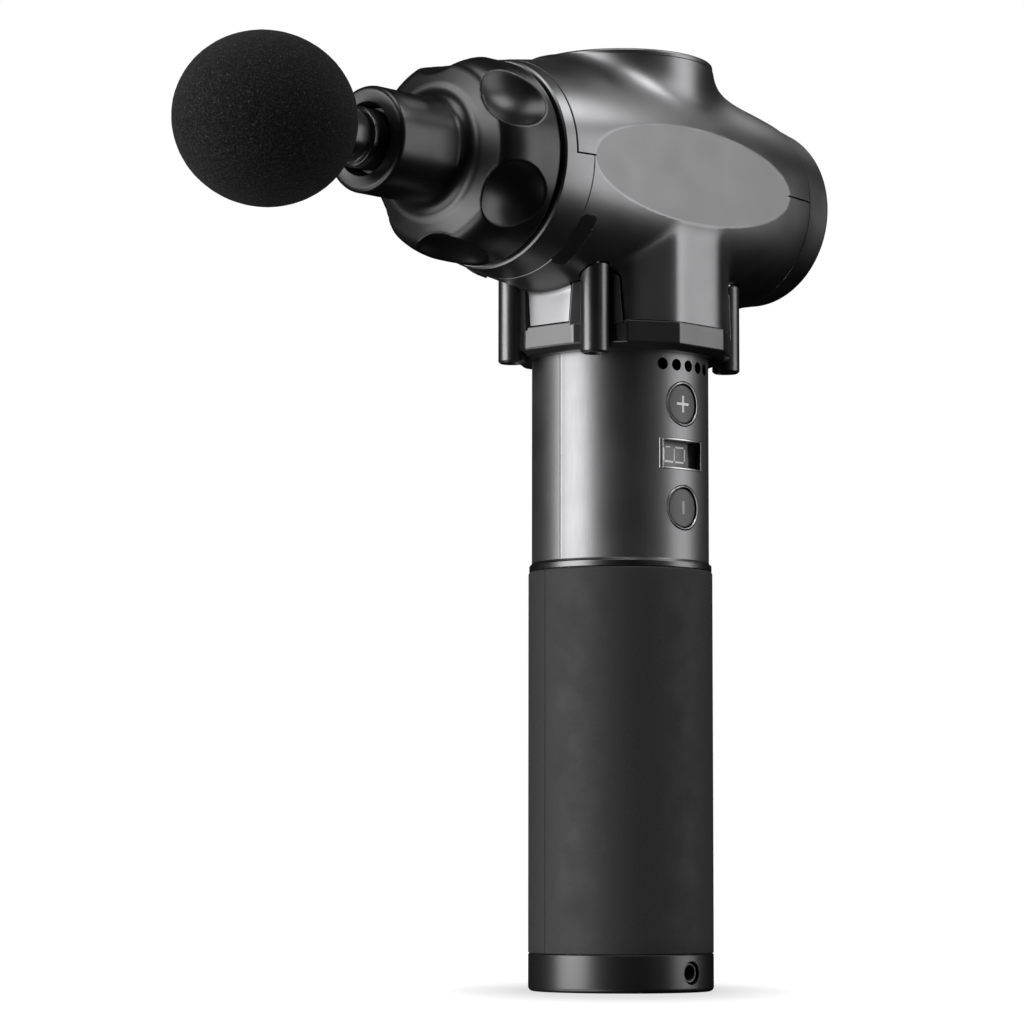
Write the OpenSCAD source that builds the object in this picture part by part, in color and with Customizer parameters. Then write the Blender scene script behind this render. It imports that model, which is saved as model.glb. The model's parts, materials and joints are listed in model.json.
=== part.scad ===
// Percussion massage gun: a straight round handle under a barrel-shaped head.
// The foot stands at z = 0, the handle runs up +Z and the stroke points along -Y.

/* [Handle] */
// Radius of the rubber grip sleeve
grip_r = 23.5; // [23.2:0.1:24.5]
// Height where the grip sleeve ends
grip_top = 106; // [90:1:108]
// Height of the foot cap
foot_h = 9.5; // [9:0.5:10]
// Outer radius of the handle tube
tube_r = 22.65; // [22.5:0.05:22.8]
// Wall of the handle tube
tube_wall = 1.6; // [1.2:0.1:1.7]

/* [Head] */
// Height of the stroke axis over the foot
stroke_z = 205; // [204:0.1:206]
// Largest radius of the barrel
barrel_r = 30.2; // [30:0.1:31]
// Half width between the two side flats
flat_x = 27.6; // [27.3:0.1:27.8]
// Radius of the motor tower on top of the barrel
boss_r = 24; // [23.5:0.1:24.4]
// Height of the tower's top face
total_h = 237.3; // [237:0.1:239]
// Distance of the front face of the nose from the handle axis
nose_face = 93; // [92:1:95]
// Wall of the moulded shells
shell_wall = 2.2; // [1.8:0.1:2.4]

/* [Drive] */
// Throw of the crank pin
throw = 5.5; // [4:0.5:6]
// Radius of the plunger
plunger_r = 8; // [7.5:0.1:8.1]
// Radius of the stem that plugs into the plunger
stem_r = 5.5; // [4.5:0.1:6]
// Radius of the foam ball
ball_r = 20.8; // [18:0.2:24]
// Distance of the ball's centre from the handle axis
ball_s = 125.4; // [124:0.2:130]

/* [Controls] */
// Turn of the controls about the handle, toward the stroke side
controls_turn = -3.5; // [-5:0.5:0]
// Height of the minus button
minus_z = 121.2; // [119:0.1:123]
// Height of the plus button
plus_z = 147.5; // [146:0.1:148]
// Radius of the buttons
button_r = 5; // [4.5:0.1:5.1]
// Radius of the hole in the foot for the charging jack
charge_r = 2.85; // [2.6:0.05:3]
// Radius of the bore that takes the charging plug
plug_r = 1.8; // [1.7:0.05:1.9]

/* [Hidden] */
$fn = 72;
// Every node of the model

// Gap left between fixed pieces that only touch
gap = 0.05;
// Inner radius of the handle tube
bore_r = tube_r - tube_wall;
tube_top = 170;

// Barrel: how far along the stroke its widest point is, and the two terms of its curve
barrel_mid = 2.5;
barrel_bow = 615;
barrel_round = 1e-7;
barrel_front = 49.3;
barrel_rear = -46.3;
seam_top = 45.7;
seam_bottom = 40.5;
rear_face = -57.5;
plate_t = 1.2;
// Places of the two stiffening ribs inside the upper shell
rib_s = [-36, 30];
plate_len = 37.5;
plate_h = 11.9;
cap_t = 1.5;

// Collar under the neck
collar_z = 160.2;
neck_z = 167.3;
post_r = 3.55;
post_at = 29.2;
post_low = 158.7;
post_high = 182;
post_turn = 28.7;
arm_inner = 23.95;
arm_t = 4.05;
arm_top = 179;
// Bosses inside the shell that take the collar screws, and their pilot holes
shell_boss_r = 3.2;
shell_boss_z = 179;
pilot_r = 1.5;
pilot_z = [170, 187];

// Battery pack: two layers of three round cells
cell_r = 9.2;
cell_h = 65;
cell_at = 10.65;
cell_z = [18.8, 85.8];
board_x = 15.2;
board_t = 1.6;
plate_cut_x = 14.9;
board_z = [113, 151.5];
// Undersides of the three plates of the battery carrier, and their thickness
carrier_z = [17.2, 84.2, 151.2];
carrier_t = 1.2;
carrier_post_r = 2.3;
driver_z = 154.5;

// Charging jack: its height, its outer face and the step in its bore
jack_z = 4.9;
jack_face = 22.6;
jack_step = 17;

// Display window
window_z = 134.7;
window_w = 15.3;
window_h = 7.9;

// Five vent holes: their height, radius and turns about the handle
vent_z = 157.3;
vent_r = 1.5;
vent_turns = [-20.3 : 10.7 : 23];

// Drive
crank_low = stroke_z + 2.4;
crank_high = stroke_z + 5.4;
frame_z = stroke_z + 5.9;
frame_t = 2.5;
motor_z = frame_z + frame_t;
shaft_r = 2.5;
pin_r = 2;
roller_r = 4.2;
slot_play = 0.35;
yoke_low = stroke_z - 4.1;
yoke_high = stroke_z + 2.1;
rail_x = 14.5;
bulkhead_s = 41.5;
bulkhead_t = 3.5;
bush_r = 11;
bell_r = 25.6;
nose_r = 13.05;
nose_root = 74;
// Rounded flank and front fillet of the bell, and the spheres that scoop it
flank_r = 5;
flank_len = 10.3;
fillet_r = 4;
scoop_r = 14;
scoop_at = [bell_r + 7.6, barrel_front + 15.2];
plunger_back = 27;
plunger_front = 89;
socket_depth = 22;
// Inner end of the stem and the grooves of its two rubber rings
plug_end = plunger_front - socket_depth + 1.5;
ring_s = [plug_end + 5, plug_end + 13];

function barrel_radius(s) = barrel_r - pow(s - barrel_mid, 2) / barrel_bow
    - barrel_round * pow(s - barrel_mid, 4);

// Turns a shape built along +Z so that it lies on the stroke axis, +Z forward
module on_stroke() {
    translate([0, 0, stroke_z]) rotate([90, 0, 0]) children();
}

// Turns a shape built along +Z so that it points out of the +X side at height z
module on_side(z) {
    translate([0, 0, z]) rotate([0, 90, 0]) children();
}

// Turns the controls and what sits behind them round the handle
module at_controls() {
    rotate(controls_turn) children();
}

// Repeats a shape at equal angles about Z
module around(count, first = 0) {
    for (i = [0 : count - 1]) rotate(first + i * 360 / count) children();
}

// Round tube standing on the local XY plane
module pipe(outer, inner, height) {
    difference() {
        cylinder(r = outer, h = height);
        translate([0, 0, -1]) cylinder(r = inner, h = height + 2);
    }
}

// Solid barrel between two places on the stroke axis, drawn in by inset
module barrel(s0, s1, inset = 0) {
    steps = ceil((s1 - s0) / 5);
    side = [for (i = [0 : steps]) s0 + (s1 - s0) * i / steps];
    on_stroke() rotate_extrude() polygon(concat([[0, s0]],
        [for (s = side) [barrel_radius(s) - inset, s]], [[0, s1]]));
}

// Half space above or below the stroke axis, as a large block
module half(up, s0 = -80, s1 = 80) {
    translate([-40, -s1, up ? stroke_z : stroke_z - 60]) cube([80, s1 - s0, 60]);
}

// Hollow of the barrel, kept clear of the side flats
module cavity(s0, s1) {
    depth = flat_x - plate_t - 1.4;
    intersection() {
        barrel(s0, s1, shell_wall);
        translate([-depth, -60, stroke_z - 40]) cube([2 * depth, 120, 80]);
    }
}

// Outline of the neck block, drawn in by a share of its size
module neck_outline(share = 1) {
    quarter = [[flat_x, 8.6], [20.2, 20.1], [8.2, 27.3]];
    right = concat([for (i = [0 : 2]) quarter[i]],
        [for (i = [2 : -1 : 0]) [-quarter[i][0], quarter[i][1]]]);
    points = concat(right, [for (i = [5 : -1 : 0]) [right[i][0], -right[i][1]]]);
    polygon([for (p = points) p * share]);
}

module post_places() {
    for (turn = [-post_turn, post_turn, 180 - post_turn, 180 + post_turn])
        rotate(turn - 90) translate([post_at, 0, 0]) children();
}

// Flat ellipse in the XY plane, along X by a and along Y by b
module ellipse_plate(a, b, t) {
    linear_extrude(t) polygon([for (i = [0 : 59]) [a * cos(6 * i), b * sin(6 * i)]]);
}

module plate_at(side, grow = 0) {
    translate([side * (flat_x - plate_t), -barrel_mid, stroke_z]) rotate([0, side * 90, 0])
        rotate(90) ellipse_plate(plate_len + grow, plate_h + grow, plate_t + (grow > 0 ? 8 : 0));
}

// Cuts that both shell halves share
module shell_cuts() {
    for (side = [-1, 1]) {
        translate([side * (flat_x + 10), 0, stroke_z]) cube([20, 160, 80], center = true);
        plate_at(side, gap);
    }
}

module upper_shell() color("#3b3d40") {
    wall_z = total_h - cap_t - gap;
    difference() {
        union() {
            intersection() {
                barrel(barrel_rear, seam_top);
                half(true, barrel_rear - 1, seam_top + 1);
            }
            translate([0, 0, stroke_z + 8]) cylinder(r = boss_r, h = wall_z - stroke_z - 8);
        }
        difference() {
            cavity(barrel_rear - 1, seam_top + 1);
            for (s = rib_s) translate([0, -s, stroke_z + 24]) cube([60, 1.6, 14], center = true);
        }
        translate([0, 0, stroke_z - 1]) cylinder(r = boss_r - shell_wall, h = 60);
        shell_cuts();
    }
}

module lower_shell() color("#3b3d40") {
    difference() {
        union() {
            intersection() {
                barrel(barrel_rear, seam_bottom);
                half(false, barrel_rear - 1, seam_bottom + 1);
            }
            difference() {
                translate([0, 0, neck_z + gap]) linear_extrude(stroke_z - 10 - neck_z) neck_outline();
                post_places() {
                    translate([0, 0, neck_z - 1]) cylinder(r = post_r + 0.1, h = post_high - neck_z + 1);
                    translate([arm_inner - post_at, 0, neck_z - 1]) arm(0.1);
                }
            }
        }
        difference() {
            union() {
                cavity(barrel_rear - 1, seam_bottom + 1);
                translate([0, 0, neck_z - 1]) linear_extrude(stroke_z - neck_z) neck_outline(0.92);
            }
            post_places() translate([0, 0, shell_boss_z]) cylinder(r = shell_boss_r, h = 10);
        }
        post_places() translate([0, 0, pilot_z[0]]) cylinder(r = pilot_r, h = pilot_z[1] - pilot_z[0]);
        shell_cuts();
    }
}

// One arm of the collar, a tapering plate that stands on the band
module arm(grow = 0) {
    foot_w = 6.9 + grow;
    head_w = 5.8 + grow;
    tall = arm_top - neck_z + 1 + grow;
    rotate([90, 0, 90]) linear_extrude(arm_t + 2 * grow)
        polygon([[-foot_w, 0], [foot_w, 0], [head_w, tall], [-head_w, tall]]);
}

module front_ring() color("#2e2f31") {
    flange_s = bulkhead_s + bulkhead_t + gap;
    difference() {
        barrel(seam_bottom + gap, barrel_front);
        intersection() {
            half(true, 0, seam_top + gap);
            barrel(seam_bottom - 1, seam_top + gap, -2);
        }
        on_stroke() translate([0, 0, seam_bottom - 1]) cylinder(r = 23.3, h = flange_s - seam_bottom + 1);
        on_stroke() translate([0, 0, seam_bottom]) cylinder(r = 14, h = 12);
        on_stroke() around(4, 45) translate([18.5, 0, flange_s - 1]) cylinder(r = 1.5, h = 8);
    }
}

module nose_seal() color("#0b0b0c") {
    on_stroke() translate([0, 0, barrel_front + gap]) pipe(24.2, 14, 1.1);
}

// Nose: a bell with six scoops round it that narrows to a short tube
module nose_cap() color("#1b1b1d") {
    back = barrel_front + 1.2;
    on_stroke() difference() {
        rotate_extrude() polygon(concat(
            [[0, back], [bell_r - 0.5, back]],
            [for (a = [0 : 15 : 75]) [bell_r - flank_r + flank_r * cos(a), back + 8 + flank_len * sin(a)]],
            [for (a = [0 : 15 : 90]) [nose_r + fillet_r * (1 - sin(a)), nose_root - fillet_r * cos(a)]],
            [[nose_r, nose_face - 1.2], [nose_r - 1.2, nose_face], [0, nose_face]]));
        around(6, 30) translate([scoop_at[0], 0, scoop_at[1]]) sphere(r = scoop_r);
        translate([0, 0, back - 1]) cylinder(r1 = 20.5, r2 = bush_r + 1, h = 13);
        translate([0, 0, back - 1]) cylinder(r = bush_r + gap, h = nose_face - back - 4);
        translate([0, 0, back]) cylinder(r = plunger_r + 0.5, h = 60);
    }
}

module rear_cap() color("#232426") {
    on_stroke() difference() {
        rotate_extrude() polygon([[0, rear_face + 0.8], [20.5, rear_face + 0.8], [21.2, rear_face],
            [22.4, rear_face], [23.3, rear_face + 0.7], [23.7, rear_face + 2], [24.55, barrel_rear - 0.35],
            [0, barrel_rear - 0.35]]);
        translate([0, 0, rear_face + 3]) cylinder(r = 21.4, h = 20);
    }
    on_stroke() translate([0, 0, barrel_rear - 0.35]) pipe(22.2, 20.6, 3);
}

module tower_cap() color("#2a2b2d") {
    translate([0, 0, total_h - cap_t]) rotate_extrude()
        polygon([[0, 0], [boss_r, 0], [boss_r, cap_t - 0.6], [boss_r - 0.6, cap_t], [0, cap_t]]);
    translate([0, 0, total_h - cap_t - 2]) pipe(boss_r - shell_wall - gap, boss_r - shell_wall - 1.5, 2);
}

module side_plate_right() color("#6f7174") {
    plate_at(1);
}

module side_plate_left() color("#6f7174") {
    plate_at(-1);
}

// Collar: a faceted band round the tube's top with four screw posts and four arms
module collar() color("#2b2c2e") {
    difference() {
        union() {
            translate([0, 0, collar_z]) linear_extrude(neck_z - collar_z) neck_outline();
            post_places() {
                translate([0, 0, post_low]) cylinder(r = post_r, h = post_high - post_low);
                translate([arm_inner - post_at, 0, neck_z - 1]) arm();
            }
        }
        translate([0, 0, collar_z - 5]) cylinder(r = tube_r + gap, h = 40);
        barrel(barrel_rear, seam_bottom, -gap);
        post_places() {
            translate([0, 0, post_low - 1]) cylinder(r = 2.7, h = 3.5);
            translate([0, 0, post_low]) cylinder(r = 1.5, h = 30);
        }
    }
}

module collar_screws() color("#8a8c8f") {
    post_places() {
        translate([0, 0, post_low + 0.7]) cylinder(r = 2.6, h = 1.8);
        translate([0, 0, post_low + 2]) cylinder(r = 1.5, h = 26);
    }
}

module handle_tube() color("#4a4c4f") {
    difference() {
        translate([0, 0, foot_h + gap]) pipe(tube_r, bore_r, tube_top - foot_h);
        at_controls() {
            for (z = [minus_z, plus_z]) on_side(z) cylinder(r = button_r + 0.8, h = 40);
            translate([15, -window_w / 2, window_z - window_h / 2]) cube([20, window_w, window_h]);
        }
        for (turn = vent_turns) rotate(turn) on_side(vent_z) cylinder(r = vent_r, h = 40);
    }
}

module grip_ring() color("#1d1d1f") {
    translate([0, 0, grip_top + gap]) rotate_extrude() polygon([[tube_r + gap, 0], [grip_r - 0.2, 0],
        [grip_r - 0.2, 1.6], [tube_r + 0.2, 2.4], [tube_r + gap, 2.4]]);
}

module grip_sleeve() color("#2f3032") {
    translate([0, 0, foot_h + gap]) pipe(grip_r, tube_r + gap, grip_top - foot_h - gap);
}

module foot_cap() color("#0e0e0f") {
    lip_r = bore_r - gap;
    difference() {
        rotate_extrude() polygon([[0, 0], [grip_r - 1.2, 0], [grip_r - 0.35, 0.35], [grip_r, 1.2], [grip_r, foot_h],
            [lip_r, foot_h], [lip_r, 14], [18.9, 14], [18.9, 2], [0, 2]]);
        on_side(jack_z) cylinder(r = charge_r, h = 40);
        around(3, 60) translate([14, 0, -1]) {
            cylinder(r = 1.5, h = 20);
            cylinder(r = 3, h = 2.2);
        }
    }
    around(3, 60) translate([14, 0, 2]) pipe(3, 1.5, 12.3);
}

module foot_screws() color("#8a8c8f") {
    around(3, 60) translate([14, 0, 0]) {
        translate([0, 0, 0.4]) cylinder(r = 2.8, h = 0.8);
        translate([0, 0, 1.2]) cylinder(r = 1.45, h = 15.8);
    }
}

// Barrel jack: a box inside the foot, a nose in the hole and a centre pin set back in the bore
module charge_jack() color("#141415") {
    difference() {
        union() {
            translate([8.5, -4.4, 2.05]) cube([9.9, 8.8, 6]);
            on_side(jack_z) translate([0, 0, 18]) cylinder(r = charge_r - gap, h = jack_face - 18);
        }
        on_side(jack_z) translate([0, 0, jack_step]) cylinder(r = plug_r, h = 20);
        on_side(jack_z) translate([0, 0, 10]) cylinder(r = 1.3, h = 10);
    }
    on_side(jack_z) translate([0, 0, 9.5]) cylinder(r = 0.45, h = 7);
}

module charge_leads() color("#a03028") {
    for (y = [-2.5, 2.5]) translate([10, y, 8.1]) cylinder(r = 0.7, h = 6.3, $fn = 16);
}

module button_bezels() color("#8b8d90") {
    at_controls() for (z = [minus_z, plus_z]) difference() {
        intersection() {
            on_side(z) cylinder(r = button_r + 0.75, h = 40);
            translate([0, 0, z - 10]) cylinder(r = tube_r + 0.3, h = 20);
        }
        on_side(z) translate([0, 0, -1]) cylinder(r = button_r + 0.3, h = 50);
        translate([0, 0, z - 11]) cylinder(r = bore_r - 0.4, h = 22);
    }
}

module display_lens() color("#17181a") {
    side = 0.1;
    at_controls() difference() {
        intersection() {
            translate([10, side - window_w / 2, window_z - window_h / 2 + side])
                cube([20, window_w - 2 * side, window_h - 2 * side]);
            translate([0, 0, window_z - 6]) cylinder(r = tube_r - 0.4, h = 12);
        }
        translate([0, 0, window_z - 7]) cylinder(r = tube_r - 1.6, h = 14);
    }
}

module led_display() color("#d9dbdd") {
    at_controls() translate([board_x + board_t, -6.4, window_z - 3.4]) cube([2.4, 12.8, 6.8]);
}

module control_board() color("#1f5a35") {
    at_controls() translate([board_x, -7.5, board_z[0]]) cube([board_t, 15, board_z[1] - board_z[0]]);
}

module tact_switches() color("#9c9ea1") {
    at_controls() for (z = [minus_z, plus_z]) {
        translate([board_x + board_t, -3, z - 3]) cube([1.6, 6, 6]);
        on_side(z) translate([0, 0, board_x + board_t + 1.6]) cylinder(r = 1.5, h = 0.6);
    }
}

module control_ribbon() color("#c9c9c4") {
    at_controls() translate([board_x + 0.3, -5, board_z[1] + 0.1]) cube([0.8, 10, 2.8]);
}

module battery_cells() color("#2c7fb8") {
    for (z = cell_z) around(3, 60) translate([cell_at, 0, z]) {
        cylinder(r = cell_r, h = cell_h - 1);
        cylinder(r = 2.8, h = cell_h);
    }
}

// Where the two battery leads run up past the cells
module lead_places() {
    for (turn = [100, 140]) rotate(turn) translate([19.6, 0, 0]) children();
}

// Carrier of the pack: three round plates on posts between the cells
module battery_frame() color("#26272a") {
    foot = carrier_z[0];
    difference() {
        union() {
            for (z = carrier_z) translate([0, 0, z]) cylinder(r = bore_r - 0.3, h = carrier_t);
            for (turn = [120, 240]) rotate(turn) translate([17.7, 0, foot])
                cylinder(r = carrier_post_r, h = carrier_z[2] - foot + 1);
            translate([17.7, 0, foot]) cylinder(r = carrier_post_r, h = carrier_z[1] - foot + 1);
            around(3, 60) translate([14, 0, foot - 2.8]) cylinder(r = 2.9, h = 2.9);
        }
        around(3, 60) translate([14, 0, 14]) cylinder(r = 1.45, h = 4);
        for (z = carrier_z) around(3, 60) translate([cell_at, 0, z - gap])
            cylinder(r = 3.5, h = carrier_t + 2 * gap);
        lead_places() cylinder(r = 0.9, h = 160);
        at_controls() translate([plate_cut_x, -20, 100]) cube([20, 40, 60]);
    }
}

module cell_straps() color("#b9b29c") {
    for (z = cell_z) around(3, 60) translate([cell_at, 0, 0]) {
        translate([0, 0, z - 0.4]) cylinder(r = 3.3, h = 0.35);
        translate([0, 0, z + cell_h + 0.02]) cylinder(r = 3.3, h = 0.35);
    }
}

module protection_board() color("#1f5a35") {
    difference() {
        translate([0, 0, 14.5]) cylinder(r = bore_r - 0.5, h = 1.4);
        around(3, 60) translate([14, 0, 14]) cylinder(r = 3.1, h = 4);
    }
    translate([-6, -5, 15.9]) cube([8, 10, 1]);
}

module driver_board() color("#1f5a35") {
    translate([0, 0, driver_z]) cylinder(r = bore_r - 0.7, h = board_t);
    around(6, 15) translate([9, -2.5, driver_z + board_t]) cube([5, 5, 1.2]);
    translate([-3, -12.5, driver_z + board_t]) cylinder(r = 3.2, h = 7.5);
}

module battery_leads() color("#a03028") {
    lead_places() translate([0, 0, 15.95]) cylinder(r = 0.75, h = 138.5, $fn = 16);
}

module motor_leads() color("#c8a02a") {
    foot = driver_z + board_t + 0.1;
    for (x = [-4, 0, 4]) translate([x, 17.3, foot]) cylinder(r = 0.9, h = frame_z - foot - 0.1, $fn = 16);
}

// Cast frame: motor plate, two rails and the front bulkhead
module drive_frame() color("#a7a9ac") {
    difference() {
        union() {
            translate([0, 0, frame_z]) cylinder(r = boss_r - shell_wall - 0.5, h = frame_t);
            for (side = [-1, 1]) translate([side > 0 ? rail_x : -rail_x - 3.5, -bulkhead_s - 1, frame_z - 5])
                cube([3.5, bulkhead_s + 13, 5.2]);
            on_stroke() translate([0, 0, bulkhead_s]) cylinder(r = 22.9, h = bulkhead_t);
        }
        translate([0, 0, frame_z - 1]) cylinder(r = 4, h = 10);
        around(4, 45) translate([9.3, 0, frame_z - 1]) {
            cylinder(r = 1.25, h = 10);
            cylinder(r = 2.3, h = 2.3);
        }
        on_stroke() translate([0, 0, bulkhead_s - 1]) cylinder(r = bush_r + gap, h = 8);
        on_stroke() around(4, 45) translate([18.5, 0, bulkhead_s - 1]) cylinder(r = 1.5, h = 8);
    }
}

module frame_screws() color("#8a8c8f") {
    on_stroke() around(4, 45) translate([18.5, 0, 0]) {
        translate([0, 0, bulkhead_s - 1.6]) cylinder(r = 2.7, h = 1.6);
        translate([0, 0, bulkhead_s]) cylinder(r = 1.5, h = 7.2);
    }
}

module motor_mount() color("#8f9194") {
    difference() {
        translate([0, 0, motor_z]) union() {
            cylinder(r = 12.5, h = 1.6);
            cylinder(r = 6.5, h = 16);
        }
        translate([0, 0, frame_z]) cylinder(r = 5, h = 30);
        around(4, 45) translate([9.3, 0, frame_z]) cylinder(r = 1.25, h = 10);
    }
}

module motor_screws() color("#8a8c8f") {
    around(4, 45) translate([9.3, 0, frame_z]) {
        translate([0, 0, 0.1]) cylinder(r = 2.2, h = 1.2);
        translate([0, 0, 1.3]) cylinder(r = 1.25, h = 2.8);
    }
}

module motor_bearings() color("#c4c6c8") {
    for (z = [1.6, 11.6]) translate([0, 0, motor_z + z]) pipe(5, shaft_r + 0.03, 4);
}

// Laminated core with twelve teeth
module stator() color("#7d7f82") {
    translate([0, 0, motor_z + 3.4]) difference() {
        union() {
            pipe(9.5, 6.5 + gap, 11.5);
            around(12) {
                translate([9, -1, 0]) cube([5.6, 2, 11.5]);
                intersection() {
                    pipe(15.8, 14.4, 11.5);
                    translate([10, -3.3, -1]) cube([10, 6.6, 14]);
                }
            }
        }
    }
}

module stator_windings() color("#b5652a") {
    around(12) for (side = [-1, 1]) translate([9.9, side > 0 ? 1.1 : -2.1, motor_z + 2.6]) cube([4.2, 1, 13.1]);
}

module plunger_bush() color("#b08d4a") {
    on_stroke() translate([0, 0, bulkhead_s + 0.5]) pipe(bush_r, plunger_r + 0.06, 43.5);
}

// Rotor bell over the stator
module motor_can() color("#55575a") {
    translate([0, 0, motor_z + 2.4]) difference() {
        cylinder(r = 19.2, h = 16.4);
        translate([0, 0, -1]) cylinder(r = 17.9, h = 15.8);
        cylinder(r = shaft_r, h = 20);
        around(6) translate([11.5, 0, 10]) cylinder(r = 3, h = 10);
    }
}

module magnets() color("#6a6c70") {
    translate([0, 0, motor_z + 3.4]) difference() {
        pipe(17.85, 16.4, 11.5);
        around(7) translate([-20, -0.5, -1]) cube([40, 1, 14]);
    }
}

module motor_shaft() color("#d0d2d4") {
    translate([0, 0, crank_low]) cylinder(r = shaft_r, h = 25);
}

// Crank disc with its counterweight opposite the pin
module crank_disc() color("#a48a4c") {
    difference() {
        union() {
            translate([0, 0, crank_low]) cylinder(r = 9.2, h = crank_high - crank_low);
            intersection() {
                translate([0, 0, crank_low]) cylinder(r = 13, h = crank_high - crank_low);
                translate([-20, -20, crank_low]) cube([20, 40, 5]);
            }
        }
        translate([0, 0, crank_low - 1]) cylinder(r = shaft_r, h = 6);
        translate([throw, 0, crank_low - 1]) cylinder(r = pin_r, h = 6);
    }
}

module crank_pin() color("#d0d2d4") {
    translate([throw, 0, yoke_low + 0.2]) cylinder(r = pin_r, h = crank_high - yoke_low - 0.2);
}

module pin_roller() color("#c4c6c8") {
    translate([throw, 0, yoke_low + 0.5]) pipe(roller_r, pin_r, 5);
}

// Slotted yoke that turns the pin's circle into a straight stroke
module drive_yoke() color("#3f4144") {
    slot_x = throw + roller_r + 0.6;
    slot_y = roller_r + slot_play;
    high = yoke_high - yoke_low;
    translate([0, 0, yoke_low]) difference() {
        union() {
            translate([-slot_x - 2.8, -slot_y - 3, 0]) cube([2 * slot_x + 5.6, 2 * slot_y + 6, high]);
            translate([-5, -plunger_back - 4, 0]) cube([10, plunger_back, high]);
        }
        translate([-slot_x, -slot_y, -1]) cube([2 * slot_x, 2 * slot_y, high + 2]);
        for (s = [0, 1]) translate([0, -plunger_back - 2.6, -1]) cylinder(r = 1.2, h = high + 2);
    }
}

module plunger() color("#9a9c9f") {
    on_stroke() difference() {
        translate([0, 0, plunger_back]) cylinder(r = plunger_r, h = plunger_front - plunger_back);
        translate([0, 0, plunger_front - socket_depth]) cylinder(r = stem_r + 0.06, h = socket_depth + 1);
        translate([-5.05, yoke_low - stroke_z - 0.05, plunger_back - 1])
            cube([10.1, yoke_high - yoke_low + 0.1, 5.1]);
        translate([0, 0, plunger_back + 2.6]) rotate([90, 0, 0]) cylinder(r = 1.2, h = 30, center = true);
    }
}

module yoke_screws() color("#8a8c8f") {
    translate([0, -plunger_back - 2.6, stroke_z - 6.8]) cylinder(r = 1.2, h = 13.6);
}

// Stem of the ball: plug, two visible flanges and a core inside the foam
module ball_stem() color("#202124") {
    on_stroke() difference() {
        rotate_extrude() polygon(concat([[0, plug_end], [stem_r - 0.8, plug_end], [stem_r, plug_end + 0.8]],
            [for (s = ring_s) each [[stem_r, s - 0.5], [4.6, s - 0.5], [4.6, s + 0.5], [stem_r, s + 0.5]]],
            [[stem_r, plunger_front + 1], [7.3, plunger_front + 1.4], [7.3, plunger_front + 7],
            [6.3, plunger_front + 7.4], [6.3, plunger_front + 8.6], [6.9, plunger_front + 9],
            [6.9, ball_s - 22], [8.5, ball_s - 21.5], [8.5, ball_s - 12], [0, ball_s - 12]]));
        translate([0, 0, plug_end - 5]) cylinder(r = 2.5, h = 42);
    }
}

module stem_rings() color("#0a0a0a") {
    for (s = ring_s) on_stroke() translate([0, 0, s - 0.45]) pipe(stem_r + 0.03, 4.65, 0.9);
}

module foam_ball() color("#141414") {
    on_stroke() difference() {
        translate([0, 0, ball_s]) sphere(r = ball_r);
        cylinder(r = 8.55, h = ball_s - 11.95);
    }
}

// One button: a cap that follows the tube and a short stem behind it
module button(z) {
    stem_x = board_x + board_t + 1.6 + 0.6 + 0.6;
    back_x = 20.2;
    at_controls() {
        intersection() {
            on_side(z) translate([0, 0, back_x]) cylinder(r = button_r, h = 10);
            translate([0, 0, z - 10]) cylinder(r = tube_r - 0.2, h = 20);
        }
        on_side(z) translate([0, 0, stem_x]) cylinder(r = 1.5, h = back_x + 0.1 - stem_x);
    }
}

module plus_button() color("#3a3b3d") {
    button(plus_z);
}

module minus_button() color("#3a3b3d") {
    button(minus_z);
}

upper_shell();
lower_shell();
front_ring();
nose_cap();
nose_seal();
rear_cap();
tower_cap();
side_plate_right();
side_plate_left();
collar();
collar_screws();
handle_tube();
grip_ring();
grip_sleeve();
foot_cap();
foot_screws();
charge_jack();
charge_leads();
button_bezels();
display_lens();
led_display();
control_board();
tact_switches();
control_ribbon();
battery_cells();
battery_frame();
cell_straps();
protection_board();
driver_board();
battery_leads();
motor_leads();
drive_frame();
frame_screws();
motor_mount();
motor_screws();
motor_bearings();
stator();
stator_windings();
plunger_bush();
motor_can();
magnets();
motor_shaft();
crank_disc();
crank_pin();
pin_roller();
drive_yoke();
plunger();
yoke_screws();
ball_stem();
stem_rings();
foam_ball();
plus_button();
minus_button();
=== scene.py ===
"""Massage gun: a straight round handle, a barrel-shaped head and a foam ball on its plunger.

Pieces are modelled in millimetres in the frame's own axes (foot at z = 0, handle up +Z, stroke toward -Y,
controls on +X) and are brought to metres when they are done.
"""

import json
import math

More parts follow.
